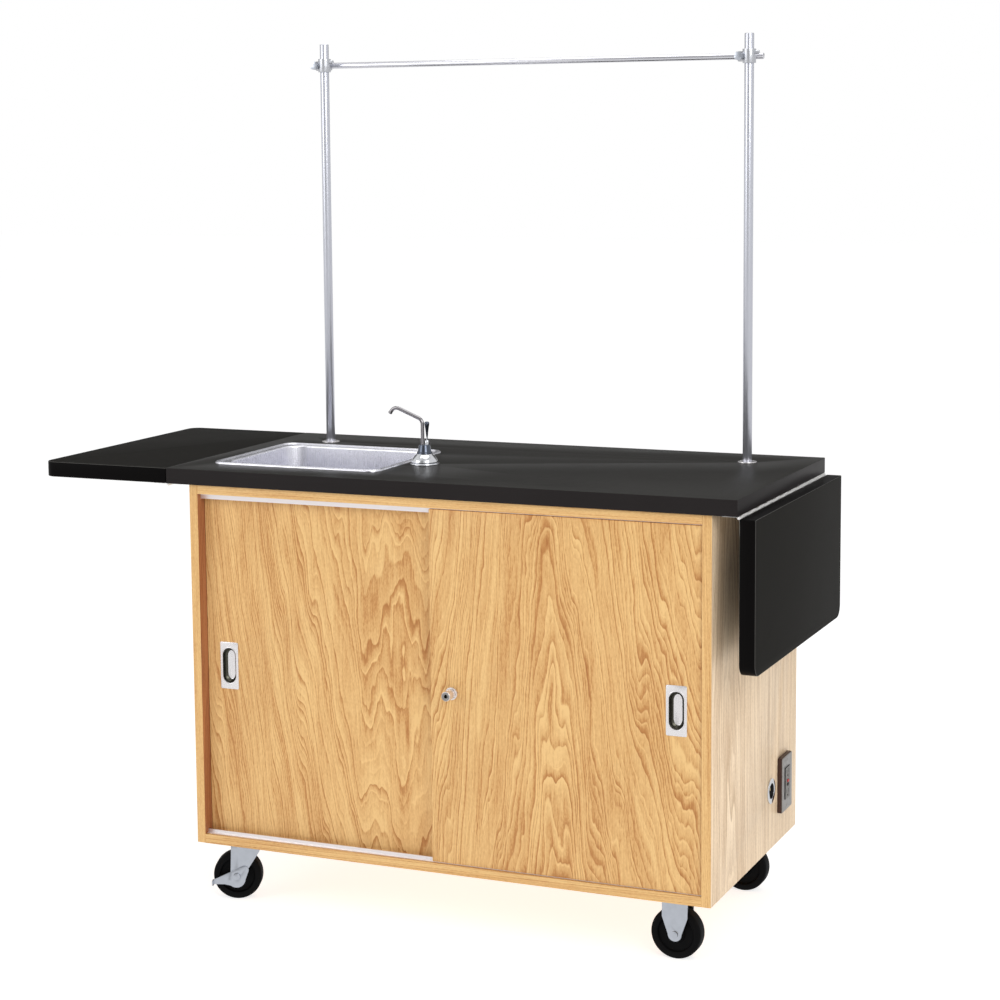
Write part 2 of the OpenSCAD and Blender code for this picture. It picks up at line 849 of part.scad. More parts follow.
module sink_basin() {
    color("lightgray") translate([sink_x, sink_y, 0]) {
        translate([0, 0, top_h]) rim_bead();
        difference() {
            union() {
                translate([0, 0, top_h]) linear_extrude(sink_t)
                    round_rect(sink_w - 4 * rim_h + 2 * sink_t, sink_d - 4 * rim_h + 2 * sink_t, rim_r - 2 * rim_h + sink_t);
                translate([0, 0, bowl_floor - sink_t]) linear_extrude(bowl_d + sink_t)
                    round_rect(bowl_w, bowl_l, bowl_r);
            }
            translate([0, 0, bowl_floor]) linear_extrude(bowl_d + sink_t + cut)
                round_rect(bowl_w - 2 * sink_t, bowl_l - 2 * sink_t, bowl_r - sink_t);
            translate([0, 0, bowl_floor - sink_t - cut]) cylinder(h = sink_t + 2 * cut, r = drain_r);
        }
    }
}

// drain: a strainer flange in the bowl, its threaded body and nut, and the pipe down to the tank
module sink_drain() {
    under = bowl_floor - sink_t;
    flange_r = drain_r + 14;
    nut_h = 9;
    body_l = 40;
    pipe_end = tank_top + neck_h - pipe_in;
    color("gainsboro") translate([sink_x, sink_y, 0]) {
        difference() {
            union() {
                translate([0, 0, bowl_floor]) cylinder(h = 2, r = flange_r);
                translate([0, 0, under - body_l]) cylinder(h = body_l + sink_t, r = drain_r - fit);
                translate([0, 0, under - nut_h]) cylinder(h = nut_h, r = drain_r + 8);
                translate([0, 0, pipe_end]) cylinder(h = under - body_l - pipe_end + cut, r = pipe_r);
            }
            translate([0, 0, pipe_end - cut]) cylinder(h = bowl_floor - pipe_end - 1 + cut, r = pipe_r - pipe_t);
            for (a = [0 : 45 : 315]) rotate([0, 0, a]) translate([9, 0, bowl_floor - 2]) cylinder(h = 6, r = 2.2);
        }
    }
}

// Water tanks under the sink and the faucet: waste on the left, fresh water on the right
tank_places = [[sink_x, sink_y], [faucet_x, faucet_yy]];

module water_tanks() {
    color("whitesmoke") for (p = tank_places) translate([p[0], sink_y, floor_top]) difference() {
        union() {
            linear_extrude(tank_h) round_rect(tank_w, tank_d, tank_r);
            translate([0, p[1] - sink_y, tank_h - cut]) cylinder(h = neck_h + cut, r = neck_r);
        }
        translate([0, 0, tank_t]) linear_extrude(tank_h - 2 * tank_t)
            round_rect(tank_w - 2 * tank_t, tank_d - 2 * tank_t, tank_r - tank_t);
        translate([0, p[1] - sink_y, tank_h - tank_t - cut]) cylinder(h = neck_h + tank_t + 2 * cut, r = neck_r - tank_t);
    }
}

module tank_caps() {
    radii = [pipe_r, supply_r];
    color("steelblue") for (i = [0, 1]) translate([tank_places[i][0], tank_places[i][1], cap_top - cap_h])
        difference() {
            cylinder(h = cap_h, r = neck_r + cap_t + loose);
            translate([0, 0, -cut]) cylinder(h = cap_h - cap_t + cut, r = neck_r + loose);
            cylinder(h = cap_h + cut, r = radii[i] + loose);
        }
}

module supply_pipe() {
    pipe_end = tank_top - 2 * pipe_in;
    color("gainsboro") translate([faucet_x, faucet_yy, 0]) difference() {
        translate([0, 0, pipe_end]) cylinder(h = top_h - shank_l - pipe_end, r = supply_r);
        translate([0, 0, pipe_end - cut]) cylinder(h = top_h - shank_l - pipe_end, r = supply_r - 1.5);
    }
}

// Faucet
// half of the bell's outline, drawn in from its foot to the collar
module bell_profile() {
    neck = cone_r + 2;
    flare = bell_r - neck;
    polygon([
        [0, 0], [bell_r, 0], [bell_r, 0.2 * bell_h], [neck + 0.9 * flare, 0.42 * bell_h],
        [neck + 0.68 * flare, 0.64 * bell_h], [neck + 0.36 * flare, 0.84 * bell_h], [neck, bell_h], [0, bell_h]
    ]);
}

module faucet_base() {
    nut_r = 16;
    nut_h = 8;
    color("gainsboro") translate([faucet_x, faucet_yy, 0]) {
        difference() {
            union() {
                translate([0, 0, top_h]) cylinder(h = 3, r = foot_r);
                translate([0, 0, top_h]) rotate_extrude() bell_profile();
                translate([0, 0, top_h + bell_h - 2]) cylinder(h = 4, r = cone_r + 2);
                translate([0, 0, top_h + bell_h]) cylinder(h = collar_h, r1 = cone_r, r2 = cone_top_r);
                translate([0, 0, top_h - shank_l]) cylinder(h = shank_l + 1, r = shank_r);
                translate([0, 0, roof_under - nut_h]) cylinder(h = nut_h, r = nut_r);
                translate([lever_dx, 0, collar_top - cut]) cylinder(h = boss_h + cut, r = boss_r);
            }
            translate([spout_dx, 0, top_h + 12]) cylinder(h = collar_top - top_h, r = spout_r + fit);
            translate([lever_dx - boss_r - cut, -lever_t / 2 - beside, collar_top + 1])
                cube([2 * boss_r + 2 * cut, lever_t + 2 * beside, boss_h]);
        }
        translate([lever_dx, 0, lever_pin_z]) cyl_y(-boss_r + 0.6, 2 * boss_r - 1.2, lever_pin_r);
    }
}

// the spout: a riser, a bend, a sloping run and a tip that turns down, drawn towards -X
module spout_bend(turn) {
    translate([-bend_r, 0, 0]) rotate([90, 0, 0]) rotate_extrude(angle = turn) translate([bend_r, 0]) circle(spout_r);
}

// a thin brazed ring where a bend meets the sloping run
module spout_ring() {
    translate([0, 0, -0.5]) cylinder(h = 1, r = spout_r + 0.1);
}

module after_bend(turn) {
    translate([-bend_r, 0, 0]) rotate([0, -turn, 0]) translate([bend_r, 0, 0]) children();
}

module faucet_spout() {
    turn = 90 - spout_slope;
    start = top_h + 12 + beside;
    color("gainsboro") translate([faucet_x + spout_dx, faucet_yy, 0]) {
        translate([0, 0, start]) cylinder(h = top_h + riser_h - start, r = spout_r);
        translate([0, 0, top_h + riser_h]) {
            spout_bend(turn);
            after_bend(turn) {
                spout_ring();
                cylinder(h = spout_run, r = spout_r);
                translate([0, 0, spout_run]) {
                    spout_ring();
                    spout_bend(tip_turn);
                    after_bend(tip_turn) difference() {
                        cylinder(h = 5, r = spout_r);
                        cylinder(h = 6, r = spout_r - 1.2);
                    }
                }
            }
        }
    }
}

module faucet_lever() {
    color("gainsboro") translate([faucet_x + lever_dx, faucet_yy, lever_pin_z])
        plate_xz(-lever_t / 2, lever_t) difference() {
            union() {
                circle(2.6);
                polygon([[-1.6, 0], [1.6, 0], [lever_w / 2, lever_l], [-lever_w / 2 + 1, lever_l]]);
                translate([0.5, lever_l]) circle(lever_w / 2 - 0.5);
            }
            circle(lever_pin_r + fit);
        }
}

// Rod rack
module rod_sockets() {
    color("silver") for (s = [-1, 1]) translate([s * rod_x, rod_y, top_h]) difference() {
        union() {
            cylinder(h = 2.5, r = socket_flange_r);
            translate([0, 0, -rod_in - socket_t]) cylinder(h = rod_in + socket_t + 1, r = rod_r + socket_t);
        }
        translate([0, 0, -rod_in]) cylinder(h = rod_in + 4, r = rod_r + fit);
    }
}

module upright_rods() {
    chamfer = 1;
    color("silver") for (s = [-1, 1]) translate([s * rod_x, rod_y, top_h - rod_in]) {
        cylinder(h = rod_l - chamfer, r = rod_r);
        translate([0, 0, rod_l - chamfer]) cylinder(h = chamfer, r1 = rod_r, r2 = rod_r - chamfer);
    }
}

module crossbar() {
    color("silver") translate([0, bar_y, bar_h]) cyl_x(-rod_x - bar_left, 2 * rod_x + bar_left + bar_right, bar_r);
}

module crossbar_clamps() {
    sleeve_l = screw_head_r * 2 + clamp_t;
    color("silver") for (s = [-1, 1]) translate([s * rod_x, 0, bar_h]) difference() {
        union() {
            translate([0, rod_y, -clamp_h / 2]) cylinder(h = clamp_h, r = rod_r + clamp_t);
            translate([screw_dx - screw_head_r, bar_y, 0]) cyl_x(0, sleeve_l + rod_r, bar_r + clamp_t);
            translate([screw_dx - screw_head_r, rod_y, -clamp_h / 4])
                cube([-screw_dx + screw_head_r, bar_y - rod_y, clamp_h / 2]);
            translate([screw_dx, 0, 0]) cyl_y(rod_y - boss_l, bar_y - rod_y + boss_l, screw_head_r - 1);
            translate([0, rod_y, clamp_h / 4]) cyl_x(rod_r + cut, clamp_t + 6, 4);
        }
        translate([0, rod_y, -clamp_h]) cylinder(h = 2 * clamp_h, r = rod_r + fit);
        translate([0, bar_y, 0]) cyl_x(-60, 120, bar_r + fit);
        translate([screw_dx, 0, 0]) cyl_y(rod_y - boss_l - cut, bar_y - rod_y + boss_l + cut, screw_r + fit);
    }
}

module clamp_screw(side) {
    head_y = rod_y - boss_l - beside;
    color("gainsboro") translate([side * rod_x + screw_dx, 0, bar_h]) difference() {
        union() {
            cyl_y(head_y - 6, 6, screw_head_r - 1.5);
            cyl_y(head_y - cut, bar_y - bar_r - beside - head_y + cut, screw_r);
        }
        plate_xz(head_y - 6 - cut, 2 + cut) square([2 * screw_head_r, 2], center = true);
    }
}

module left_clamp_screw() {
    clamp_screw(-1);
}

module right_clamp_screw() {
    clamp_screw(1);
}

// Outlet and power inlet on the cabinet's right side
module outlet_box() {
    color("saddlebrown") translate([0, box_y, box_z]) difference() {
        union() {
            plate_yz(cab_x, box_out) round_rect(box_w, box_h, 3);
            plate_yz(cab_x - box_depth, box_depth) square([cavity_w + 2 * box_t, cavity_h + 2 * box_t], center = true);
        }
        plate_yz(cab_x - box_depth + box_t, box_depth + box_out) square([cavity_w, cavity_h], center = true);
        translate([conduit_x, 0, 0]) cyl_y(-box_w / 2, box_w / 2, conduit_r - 1.5);
    }
}

module outlet_plate() {
    color("lightgray") translate([0, box_y, box_z]) {
        plate_yz(cab_x + box_out, cover_t) difference() {
            round_rect(box_w - 2, box_h - 2, 3);
            square([device_w + 2 * loose, device_h + 2 * loose], center = true);
        }
        for (z = [-1, 1]) translate([0, 0, z * 48]) cyl_x(cab_x + box_out, cover_t + 1, 3);
    }
}

module outlet_receptacle() {
    depth = 24;
    color("dimgray") translate([0, box_y, box_z]) difference() {
        plate_yz(face_x + device_out - depth, depth) square([device_w, device_h], center = true);
        for (s = [-1, 1]) translate([0, 0, s * 21]) {
            for (y = [-1, 1]) plate_yz(face_x, device_out + cut) translate([y * 6.3, 3]) square([2, 8], center = true);
            translate([0, 0, -6]) cyl_x(face_x - 8, 12, 2.4);
        }
        for (z = [-1, 1]) plate_yz(face_x - 5, 12) translate([0, z * button_z])
            square([button_w + 2 * beside, button_h + 2 * beside], center = true);
    }
    color("dimgray") translate([0, box_y, box_z]) plate_yz(cab_x + box_out - strap_t, strap_t) difference() {
        square([device_w / 2, cavity_h], center = true);
        square([device_w / 2 + cut, device_h - cut], center = true);
    }
}

module outlet_button(side) {
    travel_room = button_travel + beside;
    translate([0, box_y, box_z + side * button_z])
        plate_yz(face_x - 5 + travel_room, 5 - travel_room + device_out + button_out)
            square([button_w, button_h], center = true);
}

module test_button() {
    color("black") outlet_button(-1);
}

module reset_button() {
    color("red") outlet_button(1);
}

module power_inlet() {
    blade_l = inlet_d - 5;
    color("silver") translate([0, inlet_y, inlet_z]) {
        difference() {
            union() {
                cyl_x(cab_x, inlet_flange_t, inlet_r);
                cyl_x(inner_x - cut, panel_t + 2 * cut, inlet_body_r);
                plate_yz(conduit_x - conduit_r - 2, inner_x - conduit_x + conduit_r + 2)
                    square(inlet_case, center = true);
            }
            cyl_x(cab_x + inlet_flange_t - inlet_d, inlet_d + cut, inlet_bore_r);
        }
        for (y = [-1, 1]) translate([0, 0, 2]) plate_yz(cab_x + inlet_flange_t - inlet_d - cut, blade_l + cut)
            translate([y * 6.3, 0]) square([1.6, 6.4], center = true);
        translate([0, 0, -8]) cyl_x(cab_x + inlet_flange_t - inlet_d - cut, blade_l + cut, 2.4);
    }
}

// a short conduit inside the cabinet from the inlet to the outlet box
module wiring_conduit() {
    start = inlet_y + inlet_case / 2;
    end = box_y - cavity_w / 2 - box_t;
    color("silver") translate([conduit_x, 0, box_z]) difference() {
        cyl_y(start, end - start, conduit_r);
        cyl_y(start - cut, end - start + 2 * cut, conduit_r - 1.5);
    }
}

// Casters: two swivel ones on the left with brakes, two rigid ones on the right
module caster_bolt_places() {
    for (x = [-swivel_x, caster_x], y = [caster_front_y, caster_back_y])
        for (i = [-1, 1], j = [-1, 1])
            translate([x + i * (plate_l / 2 - 10), y + j * (plate_w / 2 - 10), 0]) children();
}

module caster_plate() {
    translate([0, 0, caster_h - plate_t]) difference() {
        linear_extrude(plate_t) round_rect(plate_l, plate_w, 6);
        for (i = [-1, 1], j = [-1, 1]) translate([i * (plate_l / 2 - 10), j * (plate_w / 2 - 10), -cut])
            cylinder(h = plate_t + 2 * cut, r = bolt_r + fit);
    }
}

module caster_bolts() {
    head_top = caster_h - plate_t;
    color("silver") caster_bolt_places() {
        translate([0, 0, head_top]) cylinder(h = plate_t + bolt_in, r = bolt_r);
        translate([0, 0, head_top - bolt_head_t]) cylinder(h = bolt_head_t, r = bolt_head_r, $fn = 6);
    }
}

module swivel_plates() {
    color("silver") for (y = [caster_front_y, caster_back_y]) translate([-swivel_x, y, 0]) {
        caster_plate();
        translate([0, 0, caster_h - plate_t - race_h]) cylinder(h = race_h, r1 = race_r, r2 = race_r - 5);
        translate([0, 0, crown_top - crown_t - beside]) cylinder(h = crown_t + 2 * beside + 1, r = king_r);
        translate([0, 0, crown_top - crown_t - beside - 3]) cylinder(h = 3, r = king_head_r);
    }
}

// one leg of a fork: wide at the top, drawn to a round end at the axle
module leg_shape(w, top_z, low_z, dx) {
    hw = w / 2;
    polygon([[-hw, top_z], [hw, top_z], [hw, low_z], [dx + leg_end_r, wheel_r], [dx - leg_end_r, wheel_r], [-hw, low_z]]);
    translate([dx, wheel_r]) circle(leg_end_r);
}

module fork_legs(w, top_z, low_z, dx) {
    for (y = [-leg_out, leg_in]) plate_xz(y, leg_t) leg_shape(w, top_z, low_z, dx);
}

module axle(dx, front) {
    translate([dx, 0, wheel_r]) {
        cyl_y(-front, front + leg_out, axle_r);
        cyl_y(-front - axle_head_t, axle_head_t, axle_head_r);
        cyl_y(leg_out, axle_head_t, axle_head_r);
    }
}

module rigid_forks() {
    top_z = caster_h - plate_t;
    color("silver") for (y = [caster_front_y, caster_back_y]) translate([caster_x, y, 0]) {
        caster_plate();
        fork_legs(leg_w, top_z, wheel_r + 34, 0);
        axle(0, leg_out);
    }
}

// the moving parts of a swivel caster, the front one or its mirror image at the back
module at_swivel(back) {
    translate([-swivel_x, back ? caster_back_y : caster_front_y, 0])
        mirror([0, back ? 1 : 0, 0]) rotate([0, 0, swivel_turn]) children();
}

module swivel_fork() {
    crown_r = race_r - 1;
    difference() {
        union() {
            translate([0, 0, crown_top - crown_t]) cylinder(h = crown_t, r = crown_r);
            translate([-swivel_leg_w / 2, -leg_out, crown_top - crown_t])
                cube([swivel_leg_w, 2 * leg_out, crown_t]);
            fork_legs(swivel_leg_w, crown_top - 1, crown_top - crown_t - 6, -trail);
        }
        translate([0, 0, crown_top - crown_t - cut]) cylinder(h = crown_t + 2 * cut, r = king_r + fit);
    }
    axle(-trail, leg_out + brake_t + 2 * beside);
}

module front_left_fork() {
    color("silver") at_swivel(false) swivel_fork();
}

module rear_left_fork() {
    color("silver") at_swivel(true) swivel_fork();
}

module wheel() {
    hub_r = 17;
    hw = wheel_w / 2;
    rim_in = wheel_r - 14;
    web = hw - 6;
    rotate([90, 0, 0]) rotate_extrude() polygon([
        [axle_r + fit, -hw - 1], [hub_r - 2, -hw - 1], [hub_r, -hw + 1], [hub_r + 2, -web],
        [rim_in - 2, -web], [rim_in, -hw + 1], [rim_in + 1, -hw], [wheel_r - 5, -hw],
        [wheel_r - 2, -hw + 1.2], [wheel_r - 0.5, -hw + 3.5], [wheel_r, -hw + 6],
        [wheel_r, hw - 6], [wheel_r - 0.5, hw - 3.5], [wheel_r - 2, hw - 1.2], [wheel_r - 5, hw],
        [rim_in + 1, hw], [rim_in, hw - 1], [rim_in - 2, web], [hub_r + 2, web], [hub_r, hw - 1],
        [hub_r - 2, hw + 1], [axle_r + fit, hw + 1]
    ]);
}

module front_left_wheel() {
    color("black") at_swivel(false) translate([-trail, 0, wheel_r]) wheel();
}

module rear_left_wheel() {
    color("black") at_swivel(true) translate([-trail, 0, wheel_r]) wheel();
}

module front_right_wheel() {
    color("black") translate([caster_x, caster_front_y, wheel_r]) wheel();
}

module rear_right_wheel() {
    color("black") translate([caster_x, caster_back_y, wheel_r]) wheel();
}

// brake lever on the axle, outside the fork's leg, with a foot tab at its low end
module brake_lever() {
    y = -leg_out - beside - brake_t;
    back = [17, 14];
    tip = [-brake_l, -12];
    translate([-trail, 0, wheel_r]) {
        plate_xz(y, brake_t) difference() {
            union() {
                translate([-1, -5]) circle(19);
                polygon([[-6, 13], [-12, -20], [-26, -17], [tip[0], tip[1] - 5], [tip[0], tip[1] + 5]]);
                polygon([[-6, 13], [17, -9], [back[0] + 7, back[1] - 4], [back[0] - 4, back[1] + 7]]);
                translate(back) circle(8);
            }
            circle(axle_r + fit);
        }
        translate([tip[0] - 2, y - 12, tip[1] - 5]) cube([3, 12 + brake_t, 10]);
        translate([-15, 0, -9]) cyl_y(y - 1.5, 2, 3.5);
    }
}

module front_left_brake() {
    color("silver") at_swivel(false) brake_lever();
}

module rear_left_brake() {
    color("silver") at_swivel(true) brake_lever();
}

place() left_side_panel();
place() right_side_panel();
place() bottom_panel();
place() top_panel();
place() back_panel();
place() centre_divider();
place() cabinet_shelf();
place() shelf_pins();
place() door_tracks();
place() worktop();
place() sink_basin();
place() sink_drain();
place() water_tanks();
place() tank_caps();
place() supply_pipe();
place() faucet_base();
place() rod_sockets();
place() upright_rods();
place() top_hinges();
place() stay_wall_brackets();
place() outlet_box();
place() outlet_plate();
place() outlet_receptacle();
place() power_inlet();
place() wiring_conduit();
place() swivel_plates();
place() rigid_forks();
place() caster_bolts();
place() left_leaf();
place() left_leaf_hinge_plate();
place() left_stay_ears();
place() right_leaf();
place() right_leaf_hinge_plate();
place() right_stay_ears();
place() left_stay_lower();
place() left_stay_upper();
place() right_stay_lower();
place() right_stay_upper();
place() rear_door();
place() rear_door_pull();
place() front_door();
place() front_door_pull();
place() lock_housing();
place() lock_plunger();
place() faucet_spout();
place() faucet_lever();
place() crossbar();
place() crossbar_clamps();
place() left_clamp_screw();
place() right_clamp_screw();
place() test_button();
place() reset_button();
place() front_left_fork();
place() rear_left_fork();
place() front_left_wheel();
place() rear_left_wheel();
place() front_right_wheel();
place() rear_right_wheel();
place() front_left_brake();
place() rear_left_brake();
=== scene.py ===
"""Finishes the laboratory bench: materials, rounded edges and fittings on the fixed frame."""

import json
import math

import bpy
from bpy.props import FloatProperty, FloatVectorProperty, PointerProperty
from mathutils import Matrix, Vector

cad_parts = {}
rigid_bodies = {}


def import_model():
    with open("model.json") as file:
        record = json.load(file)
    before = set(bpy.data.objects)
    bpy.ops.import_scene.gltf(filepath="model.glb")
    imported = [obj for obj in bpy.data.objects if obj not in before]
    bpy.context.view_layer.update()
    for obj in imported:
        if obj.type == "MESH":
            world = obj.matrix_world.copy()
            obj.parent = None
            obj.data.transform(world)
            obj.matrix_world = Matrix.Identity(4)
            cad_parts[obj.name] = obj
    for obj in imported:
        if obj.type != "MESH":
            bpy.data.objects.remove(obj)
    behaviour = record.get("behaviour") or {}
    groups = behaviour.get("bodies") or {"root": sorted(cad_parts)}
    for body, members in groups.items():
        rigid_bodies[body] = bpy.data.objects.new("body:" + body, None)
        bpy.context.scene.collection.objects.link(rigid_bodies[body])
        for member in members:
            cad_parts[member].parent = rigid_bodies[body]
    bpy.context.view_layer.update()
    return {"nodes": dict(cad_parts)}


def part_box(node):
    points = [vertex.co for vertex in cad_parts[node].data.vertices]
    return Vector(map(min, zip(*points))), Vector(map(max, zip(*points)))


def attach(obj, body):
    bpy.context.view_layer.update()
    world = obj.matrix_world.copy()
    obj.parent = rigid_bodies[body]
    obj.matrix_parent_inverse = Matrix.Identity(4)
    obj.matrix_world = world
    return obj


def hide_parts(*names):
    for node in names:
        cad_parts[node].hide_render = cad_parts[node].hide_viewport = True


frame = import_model()

bl_info = {
    "name": "Laboratory Bench Finish",
    "version": (1, 0, 0),
    "blender": (4, 5, 0),
    "location": "View3D > Sidebar > Bench",
    "description": "Dresses the laboratory bench with its rounded pieces, fittings and materials",
    "category": "Object",
}


def colour(red, green, blue):
    """Linear colour with alpha from the eight-bit screen colour."""
    linear = []
    for part in (red, green, blue):
        share = part / 255
        linear.append(share / 12.92 if share <= 0.04045 else ((share + 0.055) / 1.055) ** 2.4)
    return (*linear, 1.0)


def shaded(shade, share):
    """The colour, made darker or lighter by a share of its light."""
    return (*(part * share for part in tuple(shade)[:3]), 1.0)


def grey(level):
    """A linear grey with alpha."""
    return (level, level, level, 1.0)


# Places that are read from the frame


def low(node):
    return Vector(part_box(node)[0])


def high(node):
    return Vector(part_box(node)[1])


def middle(node):
    return (low(node) + high(node)) / 2


CABINET_X = (low("left_side_panel").x + high("right_side_panel").x) / 2
CABINET_Y = low("right_side_panel").y
TOP = high("worktop").z
# Slack for telling whether two places are the same
HAIR = 0.00005
WHEELS = ("front_left_wheel", "rear_left_wheel", "front_right_wheel", "rear_right_wheel")


def at(x, y, z):
    """A point given in millimetres from the middle of the cabinet's front edge, on the floor."""
    return Vector((CABINET_X + x / 1000, CABINET_Y + y / 1000, z / 1000))


# Sizes and colours that a user would change


def chosen_colour(name, description, *screen):
    """A colour property, whose default is given as an eight-bit screen colour."""
    return FloatVectorProperty(
        name=name, description=description, subtype="COLOR", size=4, default=colour(*screen)
    )


def chosen_length(name, description, default, least, most):
    """A length property in metres."""
    return FloatProperty(
        name=name, description=description, subtype="DISTANCE", unit="LENGTH",
        default=default, min=least, max=most,
    )


def chosen_number(name, description, default, least, most):
    """A property without a unit."""
    return FloatProperty(name=name, description=description, default=default, min=least, max=most)


class BenchWood(bpy.types.PropertyGroup):
    """The oak veneer."""

    light: chosen_colour("Light Wood", "Colour of the late wood", 233, 193, 131)
    dark: chosen_colour("Dark Wood", "Colour of the early wood", 198, 144, 85)
    pore: chosen_colour("Pores", "Colour of the pores", 168, 108, 56)
    # The pale side colours are partly the side veneer's own paler tone and partly painted light,
    # for the brightly lit side.
    pale: chosen_colour("Pale Side", "Colour of the paler side veneer", 252, 228, 195)
    pale_dark: chosen_colour("Pale Side Grain", "Colour of the side veneer's grain", 206, 175, 139)
    # The jamb colours are painted shade: they darken the side panels' inner faces, where the
    # cabinet's recess lies in shade.
    jamb: chosen_colour("Jamb", "Colour of the stained inner faces", 176, 116, 74)
    jamb_dark: chosen_colour("Jamb Grain", "Colour of the grain on the inner faces", 140, 82, 52)
    ring: chosen_length("Ring Spacing", "Distance between two growth rings", 0.0055, 0.002, 0.03)


class BenchTop(bpy.types.PropertyGroup):
    """The black worktop and leaves."""

    surface: chosen_colour("Surface", "Colour of the top's surface", 46, 45, 43)
    edge: chosen_colour("Edge Strip", "Colour of the top's edge strips", 38, 35, 35)
    edge_round: chosen_length(
        "Edge Rounding", "Rounding of the top's edges", 0.0018, 0.0005, 0.004
    )


class BenchSink(bpy.types.PropertyGroup):
    """The stainless sink."""

    rim_width: chosen_length("Rim Width", "Width of the sink's rim", 0.018, 0.01, 0.03)
    rim_height: chosen_length("Rim Height", "Height of the rolled edge", 0.005, 0.002, 0.008)
    rim_corner: chosen_length(
        "Rim Corner Radius", "Radius of the rim's outer corners", 0.024, 0.016, 0.06
    )
    corner: chosen_length(
        "Corner Radius", "Radius of the bowl's upright corners", 0.045, 0.02, 0.08
    )
    floor_round: chosen_length(
        "Floor Rounding", "Radius between the bowl's walls and floor", 0.028, 0.01, 0.04
    )


class BenchPull(bpy.types.PropertyGroup):
    """The finger pulls of the doors."""

    cup_width: chosen_length("Cup Width", "Width of the pull's oval cup", 0.031, 0.026, 0.034)
    cup_height: chosen_length("Cup Height", "Height of the pull's oval cup", 0.074, 0.06, 0.08)


class BenchStage(bpy.types.PropertyGroup):
    """Floor, light and camera. The flags' directions and widths are in degrees."""

    backdrop: chosen_colour("Backdrop", "Colour of the backdrop", 255, 255, 255)
    sky: chosen_number("Sky Light", "Strength of the soft light from all sides", 0.6, 0.0, 2.0)
    lens: FloatProperty(
        name="Lens", description="Focal length of the camera", subtype="DISTANCE_CAMERA",
        default=82.1, min=20.0, max=200.0,
    )
    flag_turn: chosen_number(
        "Flag Turn", "Direction of the dark flag beside the camera", -90.0, -180.0, 180.0
    )
    flag_width: chosen_number("Flag Width", "Half of the dark flag's width", 20.0, 2.0, 90.0)
    flag_depth: chosen_number(
        "Flag Darkness", "How dark the flag is in polished metal", 0.55, 0.0, 1.0
    )
    back_turn: chosen_number(
        "Back Turn", "Direction of the dark flag behind the bench", 113.0, -180.0, 180.0
    )
    back_width: chosen_number("Back Width", "Half of the back flag's width", 60.0, 2.0, 90.0)
    back_depth: chosen_number(
        "Back Darkness", "How dark the back flag is in polished surfaces", 0.9, 0.0, 1.0
    )
    top_depth: chosen_number(
        "Top Darkness", "How much dimmer the sky is overhead in polished surfaces", 0.3, 0.0, 1.0
    )
    floor_span: chosen_length("Floor Size", "Width of the floor", 60.0, 10.0, 200.0)


# Shader maths


class Value:
    """A number on a shader socket that Python's operators work on."""

    def __init__(self, finish, socket):
        self.finish = finish
        self.socket = socket

    def maths(self, operation, *others):
        return self.finish.maths(operation, self, *others)

    def __add__(self, other):
        return self.maths("ADD", other)

    def __radd__(self, other):
        return self.finish.maths("ADD", other, self)

    def __sub__(self, other):
        return self.maths("SUBTRACT", other)

    def __rsub__(self, other):
        return self.finish.maths("SUBTRACT", other, self)

    def __mul__(self, other):
        return self.maths("MULTIPLY", other)

    def __rmul__(self, other):
        return self.finish.maths("MULTIPLY", other, self)

    def __truediv__(self, other):
        return self.maths("DIVIDE", other)


class Nodes:
    """A node tree that is put together node by node."""

    def __init__(self, tree, places):
        self.tree = tree
        tree.nodes.clear()
        place = self.node("ShaderNodeTexCoord").outputs[places]
        split = self.node("ShaderNodeSeparateXYZ", {}, {"Vector": place})
        self.x, self.y, self.z = (Value(self, split.outputs[axis]) for axis in "XYZ")

    def node(self, kind, settings=None, inputs=None):
        """Adds a node: its settings first, then values or links for its sockets."""
        made = self.tree.nodes.new(kind)
        for setting, value in (settings or {}).items():
            if setting == "stops":
                ramp = made.color_ramp.elements
                while len(ramp) < len(value):
                    ramp.new(0.5)
                for element, (place, shade) in zip(ramp, value):
                    element.position = place
                    element.color = shade if isinstance(shade, tuple) else grey(shade)
            else:
                setattr(made, setting, value)
        for socket, value in (inputs or {}).items():
            self.feed(made.inputs[socket], value)
        return made

    def feed(self, socket, value):
        if isinstance(value, Value):
            value = value.socket
        if isinstance(value, bpy.types.NodeSocket):
            self.tree.links.new(value, socket)
        else:
            socket.default_value = value

    def maths(self, operation, *values):
        made = self.node("ShaderNodeMath", {"operation": operation}, dict(enumerate(values)))
        return Value(self, made.outputs[0])

    def noise(self, x, y, z, detail):
        """Noise from 0 to 1 on coordinates that are already scaled."""
        place = self.node("ShaderNodeCombineXYZ", {}, {"X": x, "Y": y, "Z": z}).outputs[0]
        inputs = {"Vector": place, "Scale": 1.0, "Detail": detail}
        return Value(self, self.node("ShaderNodeTexNoise", {}, inputs).outputs[0])

    def even_noise(self, scale, detail):
        """Noise from 0 to 1 that is as fine along each axis."""
        return self.noise(self.x * scale, self.y * scale, self.z * scale, detail)

    def ramp(self, value, stops, interpolation="LINEAR"):
        made = self.node("ShaderNodeValToRGB", {"stops": stops}, {"Fac": value})
        made.color_ramp.interpolation = interpolation
        return Value(self, made.outputs[0])

    def blend(self, factor, first, second):
        """Mixes two colours."""
        inputs = {0: factor, 6: first, 7: second}
        return self.node("ShaderNodeMix", {"data_type": "RGBA"}, inputs).outputs[2]


